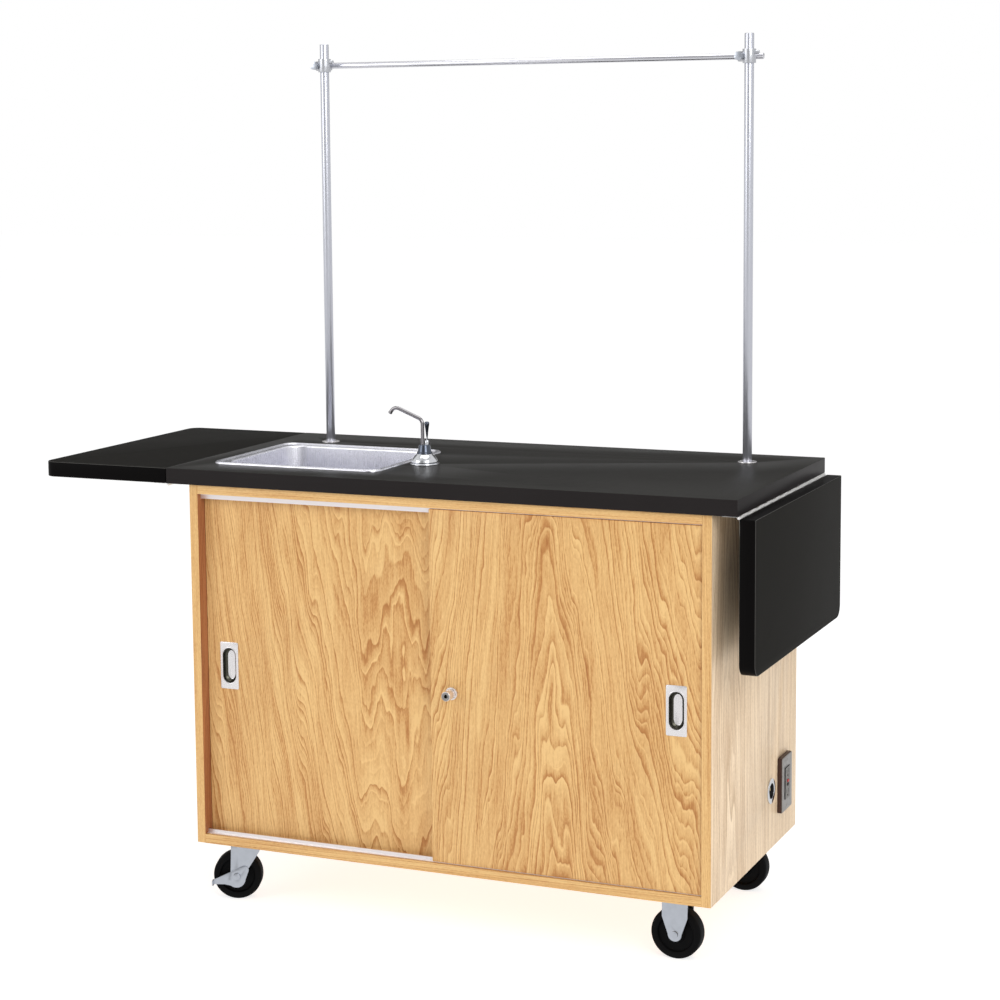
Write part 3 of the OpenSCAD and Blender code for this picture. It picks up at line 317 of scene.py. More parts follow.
class Finish(Nodes):
    """A material with one shader for its surface."""

    def __init__(self, name, **shine):
        self.material = bpy.data.materials.new(name)
        self.material.use_nodes = True
        super().__init__(self.material.node_tree, "Object")
        self.surface = self.node("ShaderNodeBsdfPrincipled")
        self.node("ShaderNodeOutputMaterial", {}, {"Surface": self.surface.outputs["BSDF"]})
        for setting, value in shine.items():
            socket = setting.replace("_", " ").title().replace("Ior", "IOR")
            self.surface.inputs[socket].default_value = value

    def paint(self, shade):
        self.feed(self.surface.inputs["Base Color"], shade)

    def rough(self, value):
        self.feed(self.surface.inputs["Roughness"], value)

    def relief(self, height, depth, strength=0.5):
        inputs = {"Height": height, "Distance": depth, "Strength": strength}
        made = self.node("ShaderNodeBump", {}, inputs)
        self.feed(self.surface.inputs["Normal"], made.outputs[0])


# Finishes

# The oak's noises: their scales across, along and through the sheet, and their detail
OAK_NOISES = {
    "sweep": ((4.4, 0.9, 3), 0.0),
    "wave": ((20, 2.7, 8), 1.0),
    "jag": ((66, 17, 30), 1.0),
    "streak": ((330, 7, 90), 2.0),
    "pores": ((780, 34, 300), 1.0),
    "sand": ((460, 150, 200), 1.0),
}
# How far the noises bend the rings
OAK_BENDS = {"sweep": 0.18, "wave": 0.052, "jag": 0.0068}
# How far unevenly spaced rings wander, in rings
RING_WANDER = 2.4
# Ramps over a ring's own chance, over its width, and over a noise
OAK_RAMPS = {
    "strong": ((0.34, 0.1), (0.66, 1.0)),
    "filled": ((0.42, 0.0), (0.62, 1.0)),
    "early": ((0.0, 0.1), (0.07, 1.0), (0.34, 0.5), (0.6, 0.12), (0.86, 0.0), (0.97, 0.0)),
    "late": ((0.78, 0.0), (0.93, 1.0), (0.99, 0.0)),
    "bands": ((0.4, 0.0), (0.66, 1.0)),
    "pores": ((0.52, 0.0), (0.68, 1.0)),
}
# How much each mark darkens the wood, and the late wood lightens it
OAK_MARKS = {"early": 0.8, "bands": 0.36, "filled": 0.3, "streak": 0.85, "sand": 0.75, "late": 0.4}
# The wood's light and dark colours for each tone: the pale tone is partly painted light, and the
# jamb tone is painted shade
OAK_TONES = {
    "light": ("light", "dark"), "pale": ("pale", "pale_dark"), "jamb": ("jamb", "jamb_dark"),
}
# Grain that is darker than this takes the pores' colour
PORE_START = 0.72


def oak(name, axes="zxy", heart=0.0, lean=0.12, depth=0.03, spread=1.5, wild=1.0, force=1.0,
        seed=0.0, tone="light"):
    """Plain-sliced oak veneer, whose arches stand at the heart's place across the sheet.

    The axes run along, across and through the sheet. The lean sets how fast the rings close
    along the grain: the arches point up where it is positive."""
    wood = bpy.context.scene.bench_wood
    finish = Finish(name, roughness=0.42, specular_ior_level=0.3)
    place = {"x": finish.x - CABINET_X, "y": finish.y - CABINET_Y, "z": finish.z}
    w, u, v = (place[axis] for axis in axes)
    v = v * 0.6 + seed

    def noise(kind):
        """One of the oak's noises on this sheet."""
        (over, up, into), detail = OAK_NOISES[kind]
        return finish.noise(u * over, w * up, v * into, detail)

    # distance from the heart, bent by the noises, and the rings in it
    offset = u - heart
    radius = finish.maths("SQRT", offset * offset + depth * depth)
    field = radius * 0.55 + offset * offset * spread + w * lean
    for kind, bend in OAK_BENDS.items():
        field = field + (noise(kind) - 0.5) * (bend * wild)
    uneven = finish.noise(field * 55, seed, 0.3, 1.0) - 0.5
    ring = field / wood.ring + uneven * RING_WANDER
    turn = finish.maths("FRACT", ring)
    number = finish.maths("FLOOR", ring)
    # marks: each ring has its own strength, and some rings are dark all over
    masks = {
        "strong": finish.noise(number * 5.7, number * 2.3, seed, 0.0),
        "filled": finish.noise(number * 3.1, number * 7.9, seed + 4, 0.0),
        "early": turn,
        "late": turn,
        "bands": finish.noise(field * 34, u * 16, w * 3.4 + seed * 3, 2.0),
        "pores": noise("pores"),
    }
    strong, filled, early, late, bands, pores = (
        finish.ramp(mask, OAK_RAMPS[kind]) for kind, mask in masks.items()
    )
    grain = early * strong * (OAK_MARKS["early"] * force)
    grain = grain + bands * (OAK_MARKS["bands"] * force) + filled * (OAK_MARKS["filled"] * force)
    for kind in ("streak", "sand"):
        grain = grain + (noise(kind) - 0.5) * OAK_MARKS[kind]
    grain = grain + pores * (early * 0.3 + 0.14) + 0.02
    grain = grain - late * strong * (OAK_MARKS["late"] * force)
    amount = finish.maths("MINIMUM", finish.maths("MAXIMUM", grain, 0.0), 1.0)
    light, dark = (tuple(getattr(wood, key)) for key in OAK_TONES[tone])
    shade = finish.blend(amount, light, dark)
    if tone != "pale":
        darkest = finish.maths("MAXIMUM", grain - PORE_START, 0.0)
        shade = finish.blend(darkest, shade, tuple(wood.pore))
    finish.paint(shade)
    finish.rough(pores * 0.12 + 0.38)
    finish.relief(1 - pores * (0.3 + early * 0.7), 0.0002)
    return finish.material


def laminate(name, surface, roughness=0.34, level=0.06):
    """Black satin laminate with a faint cloud and a fine texture."""
    finish = Finish(name, roughness=roughness, specular_ior_level=level)
    clouds, specks = finish.even_noise(9, 3.0), finish.even_noise(900, 1.0)
    mottle = clouds * 0.7 + specks * 0.3
    finish.paint(finish.blend(mottle, shaded(surface, 0.85), shaded(surface, 1.15)))
    finish.rough(clouds * 0.08 + specks * 0.06 + (roughness - 0.07))
    finish.relief(specks, 0.00004, 0.3)
    return finish.material


def metal(name, shade, roughness, brushed=None, cloud=0.12, scale=60, specks=0.0, metallic=1.0):
    """Metal with faint clouds, and with brush lines along one axis where that is given."""
    finish = Finish(name, metallic=metallic)
    soft = finish.even_noise(scale, 3.0)
    wear = soft * 0.1 + (roughness - 0.05)
    if brushed:
        place = {"x": finish.x, "y": finish.y, "z": finish.z}
        stretched = (value * (14 if axis == brushed else 3200) for axis, value in place.items())
        lines = finish.noise(*stretched, 2.0)
        wear = wear + (lines - 0.5) * 0.16
        finish.relief(lines, 0.00004)
    if specks:
        finish.relief(finish.even_noise(1400, 2.0), specks)
    finish.paint(finish.blend(soft, shaded(shade, 1 - cloud), shade))
    finish.rough(wear)
    return finish.material


def plastic(name, shade, roughness, grain=0.00006, level=0.35, tint=0.1):
    """Moulded plastic with a faint mottle and a fine grain."""
    finish = Finish(name, specular_ior_level=level)
    mottle = finish.even_noise(40, 3.0)
    finish.paint(finish.blend(mottle, shaded(shade, 1 - tint), shade))
    finish.rough(mottle * 0.08 + (roughness - 0.04))
    finish.relief(finish.even_noise(1500, 1.0), grain)
    return finish.material


# Metals and plastics: the maker, the screen colour, the roughness and what else differs
FINISHES = {
    "zinc_plate": (metal, (212, 217, 226), 0.3, {"cloud": 0.2, "scale": 90, "specks": 0.00003}),
    "chrome_plate": (metal, (226, 228, 232), 0.1, {"cloud": 0.05, "scale": 30}),
    # Darker chrome as a painted dark reflection, on the faucet's collar and the lever's knob
    "dark_chrome": (metal, (92, 98, 110), 0.14, {"cloud": 0.1}),
    # Darker chrome for the spout's tube: painted shade and dark reflection over the whole tube
    "pipe_chrome": (metal, (158, 155, 158), 0.12, {"cloud": 0.1}),
    "lock_chrome": (
        metal, (240, 233, 230), 0.24, {"cloud": 0.08, "scale": 160, "metallic": 0.6}
    ),
    "bright_steel": (
        metal, (246, 243, 244), 0.24, {"brushed": "z", "cloud": 0.03, "scale": 30, "metallic": 0.8}
    ),
    "sink_steel": (
        metal, (236, 236, 243), 0.27, {"brushed": "z", "cloud": 0.06, "scale": 25, "metallic": 0.92}
    ),
    "grey_steel": (metal, (168, 165, 163), 0.3, {"brushed": "z", "cloud": 0.1}),
    # Dark steel that stands for shade: painted shade in the pulls' cup walls, the lock's keyway and
    # the sides of the axle heads and brake screws.
    "dark_steel": (metal, (88, 87, 78), 0.26, {"cloud": 0.3, "scale": 160}),
    # Near-white steel for the hinges, a painted highlight along the hinge line
    "hinge_steel": (metal, (255, 254, 252), 0.3, {"cloud": 0.03, "scale": 30, "metallic": 0.4}),
    "speckled_steel": (
        metal, (188, 184, 181), 0.36,
        {"cloud": 0.6, "scale": 260, "specks": 0.00006, "metallic": 0.85},
    ),
    "track_aluminium": (
        metal, (246, 240, 240), 0.3, {"cloud": 0.04, "scale": 20, "metallic": 0.65}
    ),
    "satin_aluminium": (
        metal, (208, 210, 219), 0.3, {"cloud": 0.05, "scale": 18, "metallic": 0.85}
    ),
    "bright_aluminium": (metal, (230, 230, 236), 0.26, {"cloud": 0.04, "scale": 18}),
    "cast_clamp": (metal, (205, 207, 212), 0.36, {"cloud": 0.1, "scale": 120, "specks": 0.00008}),
    # Pale bright brass for the inlet's contacts: their own metal, made brighter as a painted
    # highlight
    "brass": (metal, (250, 234, 188), 0.3, {"metallic": 0.4}),
    "dark_bronze": (metal, (96, 82, 66), 0.35, {}),
    "brown_plastic": (plastic, (66, 42, 36), 0.4, {}),
    "black_plastic": (plastic, (20, 18, 20), 0.35, {}),
    "red_plastic": (plastic, (196, 30, 34), 0.35, {}),
    "grey_plastic": (plastic, (116, 112, 108), 0.4, {}),
    "white_plastic": (plastic, (232, 235, 232), 0.5, {"grain": 0.0001}),
    "blue_plastic": (plastic, (40, 92, 160), 0.4, {}),
    "black_rubber": (plastic, (6, 6, 7), 0.6, {"grain": 0.0001, "level": 0.1, "tint": 0.15}),
}
MADE = {}


def made(finish):
    """The metal or plastic of that name, made on its first use. A material stays as it is."""
    if isinstance(finish, bpy.types.Material):
        return finish
    if finish not in MADE:
        maker, screen, roughness, settings = FINISHES[finish]
        MADE[finish] = maker(finish, colour(*screen), roughness, **settings)
    return MADE[finish]


# Modelling

# The half turn of an upright round piece, which puts its seam on the left
UPRIGHT = Vector((0, 0, 1)).to_track_quat("Z", "Y").to_euler()


def alone(piece):
    bpy.ops.object.select_all(action="DESELECT")
    piece.select_set(True)
    bpy.context.view_layer.objects.active = piece


def added(name, primitive, **settings):
    """Adds a primitive with nothing else selected, and names it."""
    bpy.ops.object.select_all(action="DESELECT")
    primitive(**settings)
    piece = bpy.context.object
    piece.name = piece.data.name = name
    return piece


def settle(piece):
    """Puts the object's place, turn and size into its mesh."""
    alone(piece)
    bpy.ops.object.transform_apply(location=True, rotation=True, scale=True)
    return piece


def fixed(piece, kind, **settings):
    """Adds a modifier and applies it."""
    alone(piece)
    made = piece.modifiers.new(kind.title(), kind)
    for setting, value in settings.items():
        setattr(made, setting, value)
    bpy.ops.object.modifier_apply(modifier=made.name)
    return piece


def cut(piece, cutter):
    """Cuts the shape of another piece out of this one, and removes that other one."""
    fixed(piece, "BOOLEAN", operation="DIFFERENCE", object=cutter, solver="EXACT")
    bpy.data.objects.remove(cutter)


def smooth(piece, angle):
    alone(piece)
    bpy.ops.object.shade_smooth_by_angle(angle=math.radians(angle))
    return piece


def edit(piece):
    """Opens the mesh with all of it selected."""
    alone(piece)
    bpy.ops.object.mode_set(mode="EDIT")
    bpy.ops.mesh.select_mode(type="VERT")
    select_all()


def select_all():
    bpy.ops.mesh.select_all(action="SELECT")


def done():
    bpy.ops.object.mode_set(mode="OBJECT")


def extrude(x, y, z):
    bpy.ops.mesh.extrude_region_move(TRANSFORM_OT_translate={"value": (x, y, z)})


def bevel_edges(width, segments):
    bpy.ops.mesh.bevel(offset=width, segments=segments, affect="EDGES")


def face_out():
    """Selects all of the mesh and turns its faces to point out of it."""
    select_all()
    bpy.ops.mesh.normals_make_consistent(inside=False)


def flip(piece):
    """Turns all faces of a piece round."""
    edit(piece)
    bpy.ops.mesh.flip_normals()
    done()


def pick(piece, kind, test):
    """Opens the mesh with only those vertices, edges or faces selected that pass the test.

    The test takes a vertex's place, the places of an edge's two ends, or a face's middle and
    normal."""
    bpy.ops.object.mode_set(mode="EDIT")
    bpy.ops.mesh.select_all(action="DESELECT")
    bpy.ops.mesh.select_mode(type=kind)
    bpy.ops.object.mode_set(mode="OBJECT")
    mesh = piece.data
    if kind == "FACE":
        for face in mesh.polygons:
            face.select = bool(test(face.center, face.normal))
    elif kind == "EDGE":
        for edge in mesh.edges:
            first, second = (mesh.vertices[i].co for i in edge.vertices)
            edge.select = bool(test(first, second))
    else:
        for vertex in mesh.vertices:
            vertex.select = bool(test(vertex.co))
    bpy.ops.object.mode_set(mode="EDIT")


def block(name, low_corner, high_corner):
    """A block between two corners, with its place in its mesh."""
    centre = (Vector(low_corner) + Vector(high_corner)) / 2
    piece = added(name, bpy.ops.mesh.primitive_cube_add, size=1, location=centre)
    piece.scale = Vector(high_corner) - Vector(low_corner)
    return settle(piece)


def rod(name, foot, head, radius):
    """An upright round bar between two points."""
    foot, head = Vector(foot), Vector(head)
    piece = added(
        name, bpy.ops.mesh.primitive_cylinder_add, vertices=40, radius=radius,
        depth=(head - foot).length, location=(foot + head) / 2,
    )
    piece.rotation_euler = UPRIGHT
    return settle(piece)


def turned(name, base, profile, steps=48):
    """A turned piece: the profile gives radius and height pairs over the base."""
    piece = added(name, bpy.ops.mesh.primitive_plane_add, size=0.01, location=(0, 0, 0))
    edit(piece)
    bpy.ops.mesh.merge(type="CENTER")
    bpy.ops.transform.translate(value=(profile[0][0], 0, profile[0][1]))
    for (r1, h1), (r2, h2) in zip(profile, profile[1:]):
        extrude(r2 - r1, 0, h2 - h1)
    select_all()
    bpy.ops.mesh.spin(steps=steps, angle=math.tau, center=(0, 0, 0), axis=(0, 0, 1))
    select_all()
    bpy.ops.mesh.remove_doubles(threshold=0.000005)
    face_out()
    done()
    piece.rotation_euler = UPRIGHT
    piece.location = base
    settle(piece)
    return smooth(piece, 40)


def joined(name, pieces):
    """Joins several pieces into one."""
    alone(pieces[0])
    for piece in pieces[1:]:
        piece.select_set(True)
    bpy.ops.object.join()
    piece = bpy.context.object
    piece.name = piece.data.name = name
    return piece


def eased(node, width, segments=2):
    """A copy of a node with its sharp edges rounded, which stands for the node."""
    alone(frame["nodes"][node])
    bpy.ops.object.duplicate(linked=False)
    piece = bpy.context.object
    bpy.ops.object.parent_clear(type="CLEAR_KEEP_TRANSFORM")
    piece.name = piece.data.name = node + "_eased"
    piece.data.materials.clear()
    # merged, and with its flat faces whole
    edit(piece)
    bpy.ops.mesh.customdata_custom_splitnormals_clear()
    select_all()
    bpy.ops.mesh.remove_doubles(threshold=0.00001)
    bpy.ops.mesh.dissolve_limited(angle_limit=math.radians(0.6))
    done()
    fixed(
        piece, "BEVEL", width=width, segments=segments, limit_method="ANGLE",
        angle_limit=math.radians(34), use_clamp_overlap=True, harden_normals=False,
    )
    smooth(piece, 32)
    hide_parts(node)
    return piece


def finish_piece(piece, body, finish):
    """Gives a piece its finish and its body."""
    piece.data.materials.clear()
    piece.data.materials.append(made(finish))
    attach(piece, body)
    return piece


def dress(node, body, finish, width=0.0006, segments=2):
    """Stands an eased copy in for a node, with its finish and its body."""
    return finish_piece(eased(node, width, segments), body, finish)


def coat(piece, finish, test):
    """Gives the faces that pass the test a finish of their own."""
    alone(piece)
    piece.data.materials.append(made(finish))
    pick(piece, "FACE", test)
    piece.active_material_index = len(piece.data.materials) - 1
    bpy.ops.object.material_slot_assign()
    done()


def finish_node(node, finish):
    """Gives a node of the frame its finish."""
    piece = frame["nodes"][node]
    for slot in piece.material_slots:
        slot.material = made(finish)
    if not piece.material_slots:
        piece.data.materials.append(made(finish))


def faces_front(place, normal):
    return normal.y < -0.5


class PieceOperator(bpy.types.Operator):
    """Shared settings of the bench's operators."""

    bl_options = {"REGISTER", "UNDO"}


# The camera's turn, tilt and roll in degrees, and its place for at()
CAMERA_ANGLES = (23.276, 6.929, -0.461)
CAMERA_PLACE = (1846.6, -3982.4, 1569.8)
CAMERA_SHIFT = -0.08
# The floor's paper: its two greys, and the light that it sends out so that it stays pale
PAPER = (grey(0.58), grey(0.6))
PAPER_LIGHT = grey(0.72)
# Heights of the sky's flags and of its dimmer crown, from 0 straight down to 1 straight up
FLAG_HEIGHTS = ((0.43, 0.0), (0.465, 1.0), (0.8, 1.0), (0.95, 0.0))
BACK_HEIGHTS = ((0.522, 0.0), (0.54, 1.0), (0.72, 1.0), (0.8, 0.0))
CROWN_HEIGHTS = ((0.86, 0.0), (0.98, 1.0))
# Soft boxes: name, place, size and power, and the point that they are aimed at
LAMPS = (
    ("key_softbox", (3.6, -3.2, 3.4), 2.6, 80),
    ("fill_softbox", (-3.4, -3.6, 2.6), 3.0, 50),
    ("top_softbox", (0.0, 0.2, 4.6), 3.4, 60),
)
LAMP_AIM = Vector((0, 0, 0.7))


class BENCH_OT_stage(PieceOperator):
    """Floor, soft light and the camera"""

    bl_idname = "bench.stage"
    bl_label = "Stage"

    def camera(self, stage):
        bpy.ops.object.select_all(action="DESELECT")
        bpy.ops.object.camera_add()
        camera = bpy.context.object
        yaw, pitch, roll = (math.radians(angle) for angle in CAMERA_ANGLES)
        forward = Vector(
            (-math.sin(yaw) * math.cos(pitch), math.cos(yaw) * math.cos(pitch), -math.sin(pitch))
        )
        right = Vector((math.cos(yaw), math.sin(yaw), 0))
        up = right.cross(forward)
        level_right = right * math.cos(roll) + up * math.sin(roll)
        level_up = up * math.cos(roll) - right * math.sin(roll)
        turn = Matrix((level_right, level_up, -forward)).transposed().to_4x4()
        camera.matrix_world = Matrix.Translation(at(*CAMERA_PLACE)) @ turn
        camera.data.sensor_width = 36
        camera.data.lens = stage.lens
        camera.data.shift_y = CAMERA_SHIFT
        camera.data.clip_end = 200
        return camera

    def flag(self, sky, turn, width, heights):
        """A soft upright band of the sky, around a direction given in degrees."""
        angle = sky.maths("ARCTAN2", sky.y, sky.x) - math.radians(turn)
        away = sky.maths("ARCCOSINE", sky.maths("COSINE", angle))
        side = sky.ramp(away / math.radians(width), ((0.5, 1.0), (1.0, 0.0)), "EASE")
        return side * sky.ramp(sky.z * 0.5 + 0.5, heights)

    def sky(self, stage):
        """White where it is looked at, with dark flags where it is mirrored, and soft as light."""
        world = bpy.data.worlds.new("studio_sky")
        world.use_nodes = True
        sky = Nodes(world.node_tree, "Generated")
        rays = sky.node("ShaderNodeLightPath")
        mirrored = Value(sky, rays.outputs["Is Glossy Ray"])
        clear = rays.outputs["Is Transmission Ray"]
        seen = sky.maths("MAXIMUM", rays.outputs["Is Camera Ray"], clear)
        front = self.flag(sky, stage.flag_turn, stage.flag_width, FLAG_HEIGHTS)
        behind = self.flag(sky, stage.back_turn, stage.back_width, BACK_HEIGHTS)
        above = sky.ramp(sky.z * 0.5 + 0.5, CROWN_HEIGHTS)
        bright = 1 - front * stage.flag_depth - behind * stage.back_depth - above * stage.top_depth
        strength = mirrored * (bright - stage.sky) + stage.sky
        soft = sky.node("ShaderNodeBackground", {}, {"Strength": strength})
        white = sky.node("ShaderNodeBackground", {}, {"Color": tuple(stage.backdrop)})
        inputs = {0: seen, 1: soft.outputs[0], 2: white.outputs[0]}
        choice = sky.node("ShaderNodeMixShader", {}, inputs)
        sky.node("ShaderNodeOutputWorld", {}, {"Surface": choice.outputs[0]})
        return world

    def execute(self, context):
        stage = context.scene.bench_stage
        context.scene.view_settings.view_transform = "Standard"
        context.scene.camera = self.camera(stage)
        context.scene.world = self.sky(stage)
        bpy.ops.mesh.primitive_plane_add(size=stage.floor_span, location=(0, 0, 0))
        floor = context.object
        floor.name = "studio_floor"
        paper = Finish("studio_paper", roughness=0.9, specular_ior_level=0.0, emission_strength=1.0)
        fleck = paper.noise(paper.x * 2, paper.y * 2, paper.z, 1.0)
        paper.paint(paper.blend(fleck, *PAPER))
        paper.surface.inputs["Emission Color"].default_value = PAPER_LIGHT
        floor.data.materials.append(paper.material)
        floor.visible_glossy = False
        for name, place, size, power in LAMPS:
            bpy.ops.object.light_add(type="AREA", location=place)
            lamp = context.object
            lamp.name = name
            lamp.data.size = size
            lamp.data.energy = power
            lamp.rotation_euler = (LAMP_AIM - Vector(place)).to_track_quat("-Z", "Y").to_euler()
        return {"FINISHED"}


class BENCH_OT_cabinet(PieceOperator):
    """The oak cabinet: panels, divider, shelf and its pins"""

    bl_idname = "bench.cabinet"
    bl_label = "Cabinet"

    def execute(self, context):
        plain = {"lean": 0.05, "depth": 0.05, "wild": 0.5}
        # The side panels' pale oak is partly their own paler veneer and partly painted light.
        side = oak("oak_side", "zyx", heart=0.12, seed=3.0, tone="pale", **plain)
        # The side panels' inner faces take a darker oak as painted shade.
        shadowed = oak("oak_jamb", "zyx", heart=0.12, seed=3.5, tone="jamb", **plain)
        front = oak("oak_front_edge", heart=0.3, force=0.75, seed=4.0, **{**plain, "wild": 0.4})
        inner = oak("oak_inner", "xyz", heart=0.2, lean=0.04, depth=0.06, wild=0.5, seed=5.0)
        back = oak("oak_back", lean=0.08, seed=7.0)
        upright = oak("oak_upright", "zyx", heart=0.3, lean=0.06, wild=0.6, seed=9.0)
        panels = {}
        for node, wood in (
            ("left_side_panel", side), ("right_side_panel", side), ("bottom_panel", inner),
            ("top_panel", inner), ("back_panel", back), ("centre_divider", upright),
            ("cabinet_shelf", inner),
        ):
            panels[node] = dress(node, "bench", wood)
        rail = oak(
            "oak_rail_edge", "xzy", heart=0.35, lean=0.02, depth=0.05, wild=0.12, force=0.8,
            seed=6.0,
        )
        for node in ("bottom_panel", "top_panel"):
            coat(panels[node], rail, faces_front)
        for node, inward in (("left_side_panel", 1), ("right_side_panel", -1)):
            coat(panels[node], front, faces_front)
            # painted shade on the side panels' inner faces
            coat(panels[node], shadowed, lambda place, normal: normal.x * inward > 0.5)
        finish_node("shelf_pins", "zinc_plate")
        return {"FINISHED"}


# The pull's plate: its thickness, and the rounding of its corners and edges
PLATE = 0.0011
PLATE_CORNER = 0.003
PLATE_EDGE = 0.0005
# The pull's cup, from its edge behind the plate's face over the lip and down to the floor: its
# reach past the oval, and its depth
CUP_START = (0.0019, 0.0004)
CUP_STEPS = (
    (0.0016, -0.0001), (0.0011, -0.0003), (0.0005, -0.0003), (-0.0001, 0.0),
    (-0.0005, 0.0010), (-0.0009, 0.0026), (-0.0017, 0.0046), (-0.0030, 0.0067),
    (-0.0046, 0.0085), (-0.0060, 0.0097), (-0.0068, 0.0103), (-0.0078, 0.0106),
)
# Depths between which the cup's wall is painted dark, as painted shade and dark reflection, its
# sheet, and the room for its lip in the plate
CUP_WALL = (0.0001, 0.0101)
CUP_SHEET = 0.0005
CUP_CLEARANCE = 0.0015
# How far the tracks' front edges stand back behind the front door's face
TRACK_SETBACK = 0.0045
# The lock cylinder's face, and the radius of its keyway's plug
LOCK_FACE = 0.0012
KEYWAY_RADIUS = 0.004


class BENCH_OT_doors(PieceOperator):
    """The two sliding oak doors"""

    bl_idname = "bench.doors"
    bl_label = "Sliding Doors"

    def pull(self, sizes, node, body):
        """A plate with a pressed oval cup."""
        start, end = low(node), high(node)
        x, y, z = (start.x + end.x) / 2, start.y, (start.z + end.z) / 2
        half, long = sizes.cup_width / 2, sizes.cup_height / 2
        # plate, with an oval hole
        plate = block(node + "_plate", (start.x, y, start.z), (end.x, y + PLATE, end.z))
        pick(plate, "EDGE", lambda a, b: abs(a.y - b.y) > PLATE / 2)
        bevel_edges(PLATE_CORNER, 5)
        pick(plate, "EDGE", lambda a, b: a.y < y + HAIR and b.y < y + HAIR)
        bevel_edges(PLATE_EDGE, 2)
        done()
        hole = self.oval(
            node + "_hole", x, y - 0.01, z, half + CUP_CLEARANCE, long + CUP_CLEARANCE
        )
        edit(hole)
        bpy.ops.mesh.edge_face_add()
        extrude(0, 0.03, 0)
        face_out()
        done()
        cut(plate, hole)
        plate.data.materials.append(made("bright_steel"))
        # cup, from its rolled lip down to its floor
        reach, depth = CUP_START
        cup = self.oval(node + "_cup", x, y + depth, z, half + reach, long + reach)
        edit(cup)
        for wide, deep in CUP_STEPS:
            extrude(0, deep - depth, 0)
            bpy.ops.transform.resize(
                value=((half + wide) / (half + reach), 1, (long + wide) / (long + reach)),
                center_override=(x, y + deep, z),
            )
            reach, depth = wide, deep
        bpy.ops.mesh.edge_face_add()
        face_out()
        done()
        if cup.data.polygons[-1].normal.y > 0:
            flip(cup)
        fixed(cup, "SOLIDIFY", thickness=CUP_SHEET, offset=-1)
        cup.data.materials.append(made("bright_steel"))
        # the cup's wall takes painted shade and a painted dark reflection
        wall_start, wall_end = (y + step for step in CUP_WALL)
        coat(cup, "dark_steel", lambda place, normal: wall_start < place.y < wall_end)
        piece = joined(node + "_pressed", [plate, cup])
        smooth(piece, 38)
        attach(piece, body)
        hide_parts(node)

    def oval(self, name, x, y, z, half, long):
        """The outline of an upright oval in the door's plane."""
        ring = settle(added(
            name, bpy.ops.mesh.primitive_circle_add, vertices=64, radius=half,
            location=(x, y, z), rotation=(math.pi / 2, 0, 0),
        ))
        for side in (1, -1):
            pick(ring, "VERT", lambda place: (place.z - z) * side > HAIR)
            bpy.ops.transform.translate(value=(0, 0, side * (long - half)))
            done()
        return ring

    def lock(self):
        """The lock's housing and its push cylinder, with the key's plug in the cylinder's face."""
        dress("lock_housing", "front_door", "lock_chrome", 0.0003)
        cylinder = dress("lock_plunger", "lock_plunger", "lock_chrome", 0.0003)
        face, centre = low("lock_plunger").y + LOCK_FACE, middle("lock_plunger")

        def is_face(place, normal):
            return normal.y < -0.9 and place.y < face

        def is_keyway(place, normal):
            away = math.hypot(place.x - centre.x, place.z - centre.z)
            return place.y > face and away < KEYWAY_RADIUS

        coat(cylinder, "grey_steel", is_face)
        # the keyway's recess is painted dark as painted shade
        coat(cylinder, "dark_steel", is_keyway)

    def execute(self, context):
        rear = oak("oak_rear_door", heart=-0.075, lean=-0.14, spread=1.0, seed=12.3)
        front = oak("oak_front_door", heart=0.25, lean=0.11, depth=0.025, spread=1.0, seed=27.6)
        dress("rear_door", "rear_door", rear)
        dress("front_door", "front_door", front)
        tracks = dress("door_tracks", "bench", "track_aluminium", 0.0003)
        front_edge = low("door_tracks").y + 0.0005
        pick(tracks, "VERT", lambda place: place.y < front_edge)
        bpy.ops.transform.translate(value=(0, TRACK_SETBACK, 0))
        done()
        for node, body in (("rear_door_pull", "rear_door"), ("front_door_pull", "front_door")):
            self.pull(context.scene.bench_pull, node, body)
        self.lock()
        return {"FINISHED"}


class BENCH_OT_worktop(PieceOperator):
    """The black worktop and its two drop leaves, with their hinges and stays"""

    bl_idname = "bench.worktop"
    bl_label = "Worktop and Leaves"

    def execute(self, context):
        top = context.scene.bench_top
        face = laminate("black_laminate", top.surface)
        strip = laminate("black_edge_strip", top.edge, 0.4)
        # The leaves' laminate is the top's colour painted darker, as painted shade for the leaf
        # that hangs at the side, and their edge strips are darker still as painted shade.
        leaf = laminate("black_leaf", shaded(top.surface, 0.76), 0.42, 0.004)
        leaf_strip = laminate("black_leaf_edge", shaded(top.edge, 0.16), 0.4, 0.04)
        # A lighter, shinier laminate on the leaves' rounded arrises is a painted highlight line.
        arris = laminate("black_leaf_arris", shaded(top.surface, 2.4), 0.3, 0.3)
        for node, body, axis, surface, edge in (
            ("worktop", "bench", "z", face, strip),
            ("left_leaf", "left_leaf", "z", leaf, leaf_strip),
            ("right_leaf", "right_leaf", "x", leaf, leaf_strip),
        ):
            piece = dress(node, body, surface, top.edge_round, 3)
            coat(piece, edge, lambda place, normal: abs(getattr(normal, axis)) < 0.35)
            # the leaves' bevel faces take the painted highlight
            if surface == leaf:
                coat(piece, arris, lambda place, normal: 0.35 <= abs(getattr(normal, axis)) < 0.95)
        # the hinges' near-white steel is a painted highlight
        for node in ("top_hinges", "left_leaf_hinge_plate", "right_leaf_hinge_plate"):
            finish_node(node, "hinge_steel")
        for node in (
            "stay_wall_brackets", "left_stay_ears", "right_stay_ears", "left_stay_lower",
            "left_stay_upper", "right_stay_lower", "right_stay_upper",
        ):
            finish_node(node, "zinc_plate")
        return {"FINISHED"}


# The sink's sheet, and how high the bowl's upper edge stands over the worktop
SINK_SHEET = 0.0012
BOWL_LEVEL = 0.0008
